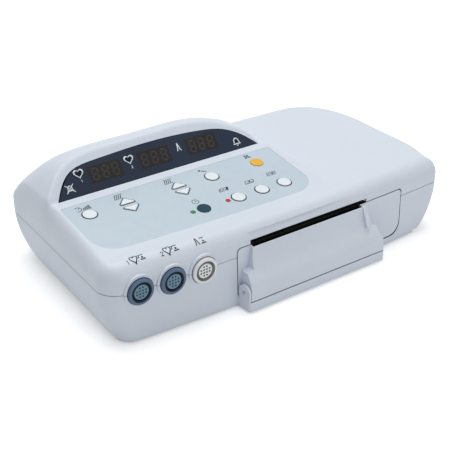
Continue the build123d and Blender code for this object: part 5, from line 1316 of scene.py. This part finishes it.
# Marks on the shoulder are drawn taller, as it is seen at a low angle.
TALLER = (1.0, 1.4)
shoulder_marks = []
for x, y, label in ((-187.0, -101.0, "1"), (-150.5, -104.5, "2")):
    shoulder_marks += moved([line(heart_outline(7.0), 1.0)], x - 1.5, y + 0.8, TALLER)
    shoulder_marks += moved(numeral(label, 4.2), x - 8.6, y - 0.2)
    wand = line([(0.0, -2.6), (1.2, 2.6), (3.0, 2.2), (2.2, 0.2), (0.8, 0.0)], 0.9)
    shoulder_marks += moved([wand], x + 1.8, y + 0.8, TALLER)
shoulder_marks += moved([line(hump(4.8, 5.6), 1.0)], -118.6, -105.8, TALLER)
for x, y in ((-179.4, -99.8), (-142.8, -103.3), (-111.5, -105.6)):
    plug = [line([(-2.4, -2.2), (2.4, -2.2), (2.4, 2.2), (-2.4, 2.2), (-2.4, -2.2)], 1.0),
            area([(-1.4, -1.2), (1.4, -1.2), (0.0, 1.4)])]
    shoulder_marks += moved(plug, x, y, TALLER)
printed("shoulder_marks", shoulder_marks, on_shoulder, "black_plastic", "print_ink")


# Painted shade of the sockets: dark rings in the grooves, at the core edges and in the gaps round the
# flanges, and dark discs deep in the contact holes

RING_STEPS = 64
GROOVE = (8.3, 10.3)
# Radii and depths of the painted shade rings, and depth of the dark discs in the contact holes
GROOVE_SHADE_DEPTH = (-1.6, 3.0)
CORE_EDGE_SHADE = (10.2, 11.3)
CORE_EDGE_SHADE_DEPTH = (-3.05, -2.6)
FLANGE_SHADE_RING = (14.5, 15.2)
FLANGE_SHADE_DEPTH = (-0.35, 0.6)
CONTACT_ROWS = ((1.5, (-0.5, 0.5)), (0.5, (-1.5, -0.5, 0.5, 1.5)), (-0.5, (-1.5, -0.5, 0.5, 1.5)),
                (-1.5, (-0.5, 0.5)))
CONTACT_PITCH = 3.4
CONTACT_RADIUS = 1.0
HOLE_SHADE_DEPTH = (-1.2, -2.24)


def front_ring(x, inner, outer, near, far):
    """Flat ring on a socket's axis between two depths behind its seat, used for the painted shade rings: a
    rectangle turned round the axis.
    """
    angle = (np.arange(RING_STEPS) * 2 * math.pi / RING_STEPS)[:, None]
    radius, depth = np.array([(inner, near), (outer, near), (outer, far), (inner, far)]).T
    across, up = radius * np.cos(angle), radius * np.sin(angle)
    points = np.stack([x + across, np.broadcast_to(seat_y(x) + depth, across.shape), SOCKET_Z + up], -1)
    return points.reshape(-1, 3), band_faces(RING_STEPS)


def socket_details(name, x, slot, look):
    """Painted shade of a socket: dark rings at the bottom of its groove, at its core's edge and in the gap
    round its flange, and dark discs deep in its contact holes.
    """
    put(name + "_groove_painted_shade", *front_ring(x, *GROOVE, *GROOVE_SHADE_DEPTH), slot, look)
    put(name + "_core_edge_painted_shade", *front_ring(x, *CORE_EDGE_SHADE, *CORE_EDGE_SHADE_DEPTH), slot, look)
    flange_shade = front_ring(x, *FLANGE_SHADE_RING, *FLANGE_SHADE_DEPTH)
    put(name + "_flange_painted_shade", *flange_shade, "roller_rubber", "dark_rubber")
    contact_hole_shades = []
    for row, columns in CONTACT_ROWS:
        for column in columns:
            loop = circle_loop(column * CONTACT_PITCH, row * CONTACT_PITCH, CONTACT_RADIUS, 14)
            contact_hole_shades.append(through_seat(x, loop, *HOLE_SHADE_DEPTH))
    put(name + "_contacts", *joined(contact_hole_shades), "black_plastic", "print_ink")


# Black painted shade for the first two sockets, and a darker grey painted shade for the white third one
socket_details("first_socket", SOCKETS_X[0], "black_plastic", "print_ink")
socket_details("second_socket", SOCKETS_X[1], "black_plastic", "print_ink")
socket_details("third_socket", SOCKETS_X[2], "socket_white", "groove_grey")


# Painted shade strip round the door, brush and guide of the paper slot

FOOT_LEAN = 2.7
FOOT_Z = 6.0
# Strip of painted shade behind the gap round the door: its overlap, width, depth and steps
GAP_SHADE_OVERLAP = 0.05
GAP_SHADE_WIDTH = 0.9
GAP_SHADE_DEPTH = (0.5, 2.8)
GAP_SHADE_STEPS = 240
BRUSH_X = (-58.8, 98.0)
BRUSH_Y = (-114.4, -112.4)
BRUSH_Z = (67.9, 74.0)
GUIDE_X = (-57.6, 92.6)
GUIDE_SECTION = [(-116.4, 56.0), (-115.4, 56.0), (-114.9, 62.0), (-115.2, 69.0), (-116.2, 69.0),
                 (-115.9, 62.0)]


def wall_y(x, z):
    """Front wall: bowed in plan, and leaning forward below the seam."""
    return front_wall(x) - FOOT_LEAN * np.clip((SEAM_BOTTOM - z) / (SEAM_BOTTOM - FOOT_Z), 0, 1)


def resampled(loop, count):
    """Closed outline with points at even distances along it."""
    ends = np.vstack([loop, loop[:1]])
    length = np.concatenate([[0], np.cumsum(np.linalg.norm(np.diff(ends, axis=0), axis=1))])
    at = np.linspace(0, length[-1], count, endpoint=False)
    return np.stack([np.interp(at, length, ends[:, 0]), np.interp(at, length, ends[:, 1])], -1)


def door_outline(grow):
    """Outline of the door's opening in x and z, grown all round and stepped evenly."""
    spans = [(low - grow, high + grow) for low, high in (DOOR_X, DOOR_Z)]
    return resampled(rounded_loop(box_corners(*spans), [r + grow for r in DOOR_CORNERS], 10), GAP_SHADE_STEPS)


def door_gap_painted_shade():
    """Dark strip of painted shade inside the door opening, so the gap round the door looks dark: a rectangle
    swept round the opening, set back behind the wall.
    """
    outer, inner = door_outline(GAP_SHADE_OVERLAP), door_outline(-GAP_SHADE_WIDTH)
    near, far = GAP_SHADE_DEPTH
    corners = []
    for loop, depth in ((inner, near), (outer, near), (outer, far), (inner, far)):
        x, z = loop.T
        corners.append(np.stack([x, wall_y(x, z) + depth, z], -1))
    points = np.stack(corners, 1).reshape(-1, 3)
    put("door_gap_painted_shade", points, band_faces(GAP_SHADE_STEPS), "roller_rubber", "dark_rubber")


door_gap_painted_shade()
brush = along_x(np.array(box_corners(BRUSH_Y, BRUSH_Z)), *BRUSH_X)
put("slot_brush", *brush, "roller_rubber", "dark_rubber", smooth=False)
guide = along_x(np.array(GUIDE_SECTION), *GUIDE_X)
put("paper_guide", *guide, "roller_rubber", "dark_rubber", body="door", smooth=False)


# Floor, light and camera

def plain_rays(tree):
    """1 for rays from the camera, in a reflection or through a clear piece, and 0 for the rest."""
    rays = add_node(tree, "LightPath").outputs
    seen = arith(tree, "MAXIMUM", rays["Is Camera Ray"], rays["Is Glossy Ray"], True)
    return arith(tree, "MAXIMUM", seen, rays["Is Transmission Ray"], True)


FLOOR_LIFT = 0.35
FLOOR_HALF = 30.0


def floor_material():
    """Pale floor. Seen by the camera or in a reflection it is lifted to white, and it keeps the shadow."""
    material, tree, shader = new_material("floor_paint")
    share = times(tree, noise(tree, own_place(tree), 3.0, 2.0), 0.04)
    feed(tree, shader, {"Base Color": blend_colour(tree, share, rgb(244, 245, 246), rgb(232, 234, 236)),
                        "Roughness": 0.9, "Specular IOR Level": 0.1, "Emission Color": (1, 1, 1, 1),
                        "Emission Strength": times(tree, plain_rays(tree), FLOOR_LIFT)})
    return material


floor_mesh = bpy.data.meshes.new("floor")
floor_corners = [(x, y, 0) for x, y in box_corners((-FLOOR_HALF, FLOOR_HALF), (-FLOOR_HALF, FLOOR_HALF))]
floor_mesh.from_pydata(floor_corners, [], [(0, 1, 2, 3)])
floor = bpy.data.objects.new("floor", floor_mesh)
floor_mesh.materials.append(floor_material())
bpy.context.scene.collection.objects.link(floor)

WORLD_LIGHT = 0.40
world = bpy.data.worlds.new("studio")
bpy.context.scene.world = world
world.use_nodes = True
sky = world.node_tree
sky.nodes.clear()
level = plus(sky, times(sky, plain_rays(sky), 1.0 - WORLD_LIGHT), WORLD_LIGHT)
shade = add_node(sky, "Background", Color=(1, 1, 1, 1), Strength=level)
leave = add_node(sky, "OutputWorld")
sky.links.new(shade.outputs[0], leave.inputs[0])


def soft_light(name, place, aim, size, power):
    """Square area lamp at a place, pointing at a point."""
    lamp = bpy.data.lights.new(name, "AREA")
    lamp.size = size
    lamp.energy = power
    holder = bpy.data.objects.new(name, lamp)
    back = np.array(place, float) - np.array(aim, float)
    back /= np.linalg.norm(back)
    side = np.cross((0.0, 0.0, 1.0), back)
    side /= np.linalg.norm(side)
    turn = Matrix(np.stack([side, np.cross(back, side), back], 1).tolist()).to_4x4()
    holder.matrix_world = Matrix.Translation(place) @ turn
    bpy.context.scene.collection.objects.link(holder)


soft_light("ceiling_softbox", place=(0.1, 0.45, 1.9), aim=(0.0, 0.0, 0.05), size=1.6, power=27.5)
soft_light("front_softbox", place=(0.25, -1.9, 0.9), aim=(0.0, -0.05, 0.05), size=1.2, power=6.5)

PHOTO_WIDTH = 450
FOCAL_PIXELS = 991.42
CAMERA_PLACE = (-0.596706, -0.825759, 0.591470)
CAMERA_AZIMUTH = math.radians(-35.48)
CAMERA_RISE = math.radians(29.29)
CAMERA_ROLL = math.radians(0.21)
view = bpy.data.cameras.new("photo_view")
view.sensor_width = 36.0
view.sensor_fit = "HORIZONTAL"
view.lens = FOCAL_PIXELS / PHOTO_WIDTH * view.sensor_width
view.clip_end = 100.0
rise, azimuth, roll = CAMERA_RISE, CAMERA_AZIMUTH, CAMERA_ROLL
back = np.array([math.sin(azimuth) * math.cos(rise), -math.cos(azimuth) * math.cos(rise), math.sin(rise)])
right = np.array([math.cos(azimuth), math.sin(azimuth), 0.0])
up = np.cross(back, right)
cam_x = right * math.cos(roll) + up * math.sin(roll)
cam_y = up * math.cos(roll) - right * math.sin(roll)
camera = bpy.data.objects.new("photo_view", view)
turned = Matrix(np.stack([cam_x, cam_y, back], 1).tolist()).to_4x4()
camera.matrix_world = Matrix.Translation(CAMERA_PLACE) @ turned
bpy.context.scene.collection.objects.link(camera)
bpy.context.scene.camera = camera
bpy.context.scene.view_settings.view_transform = "Standard"
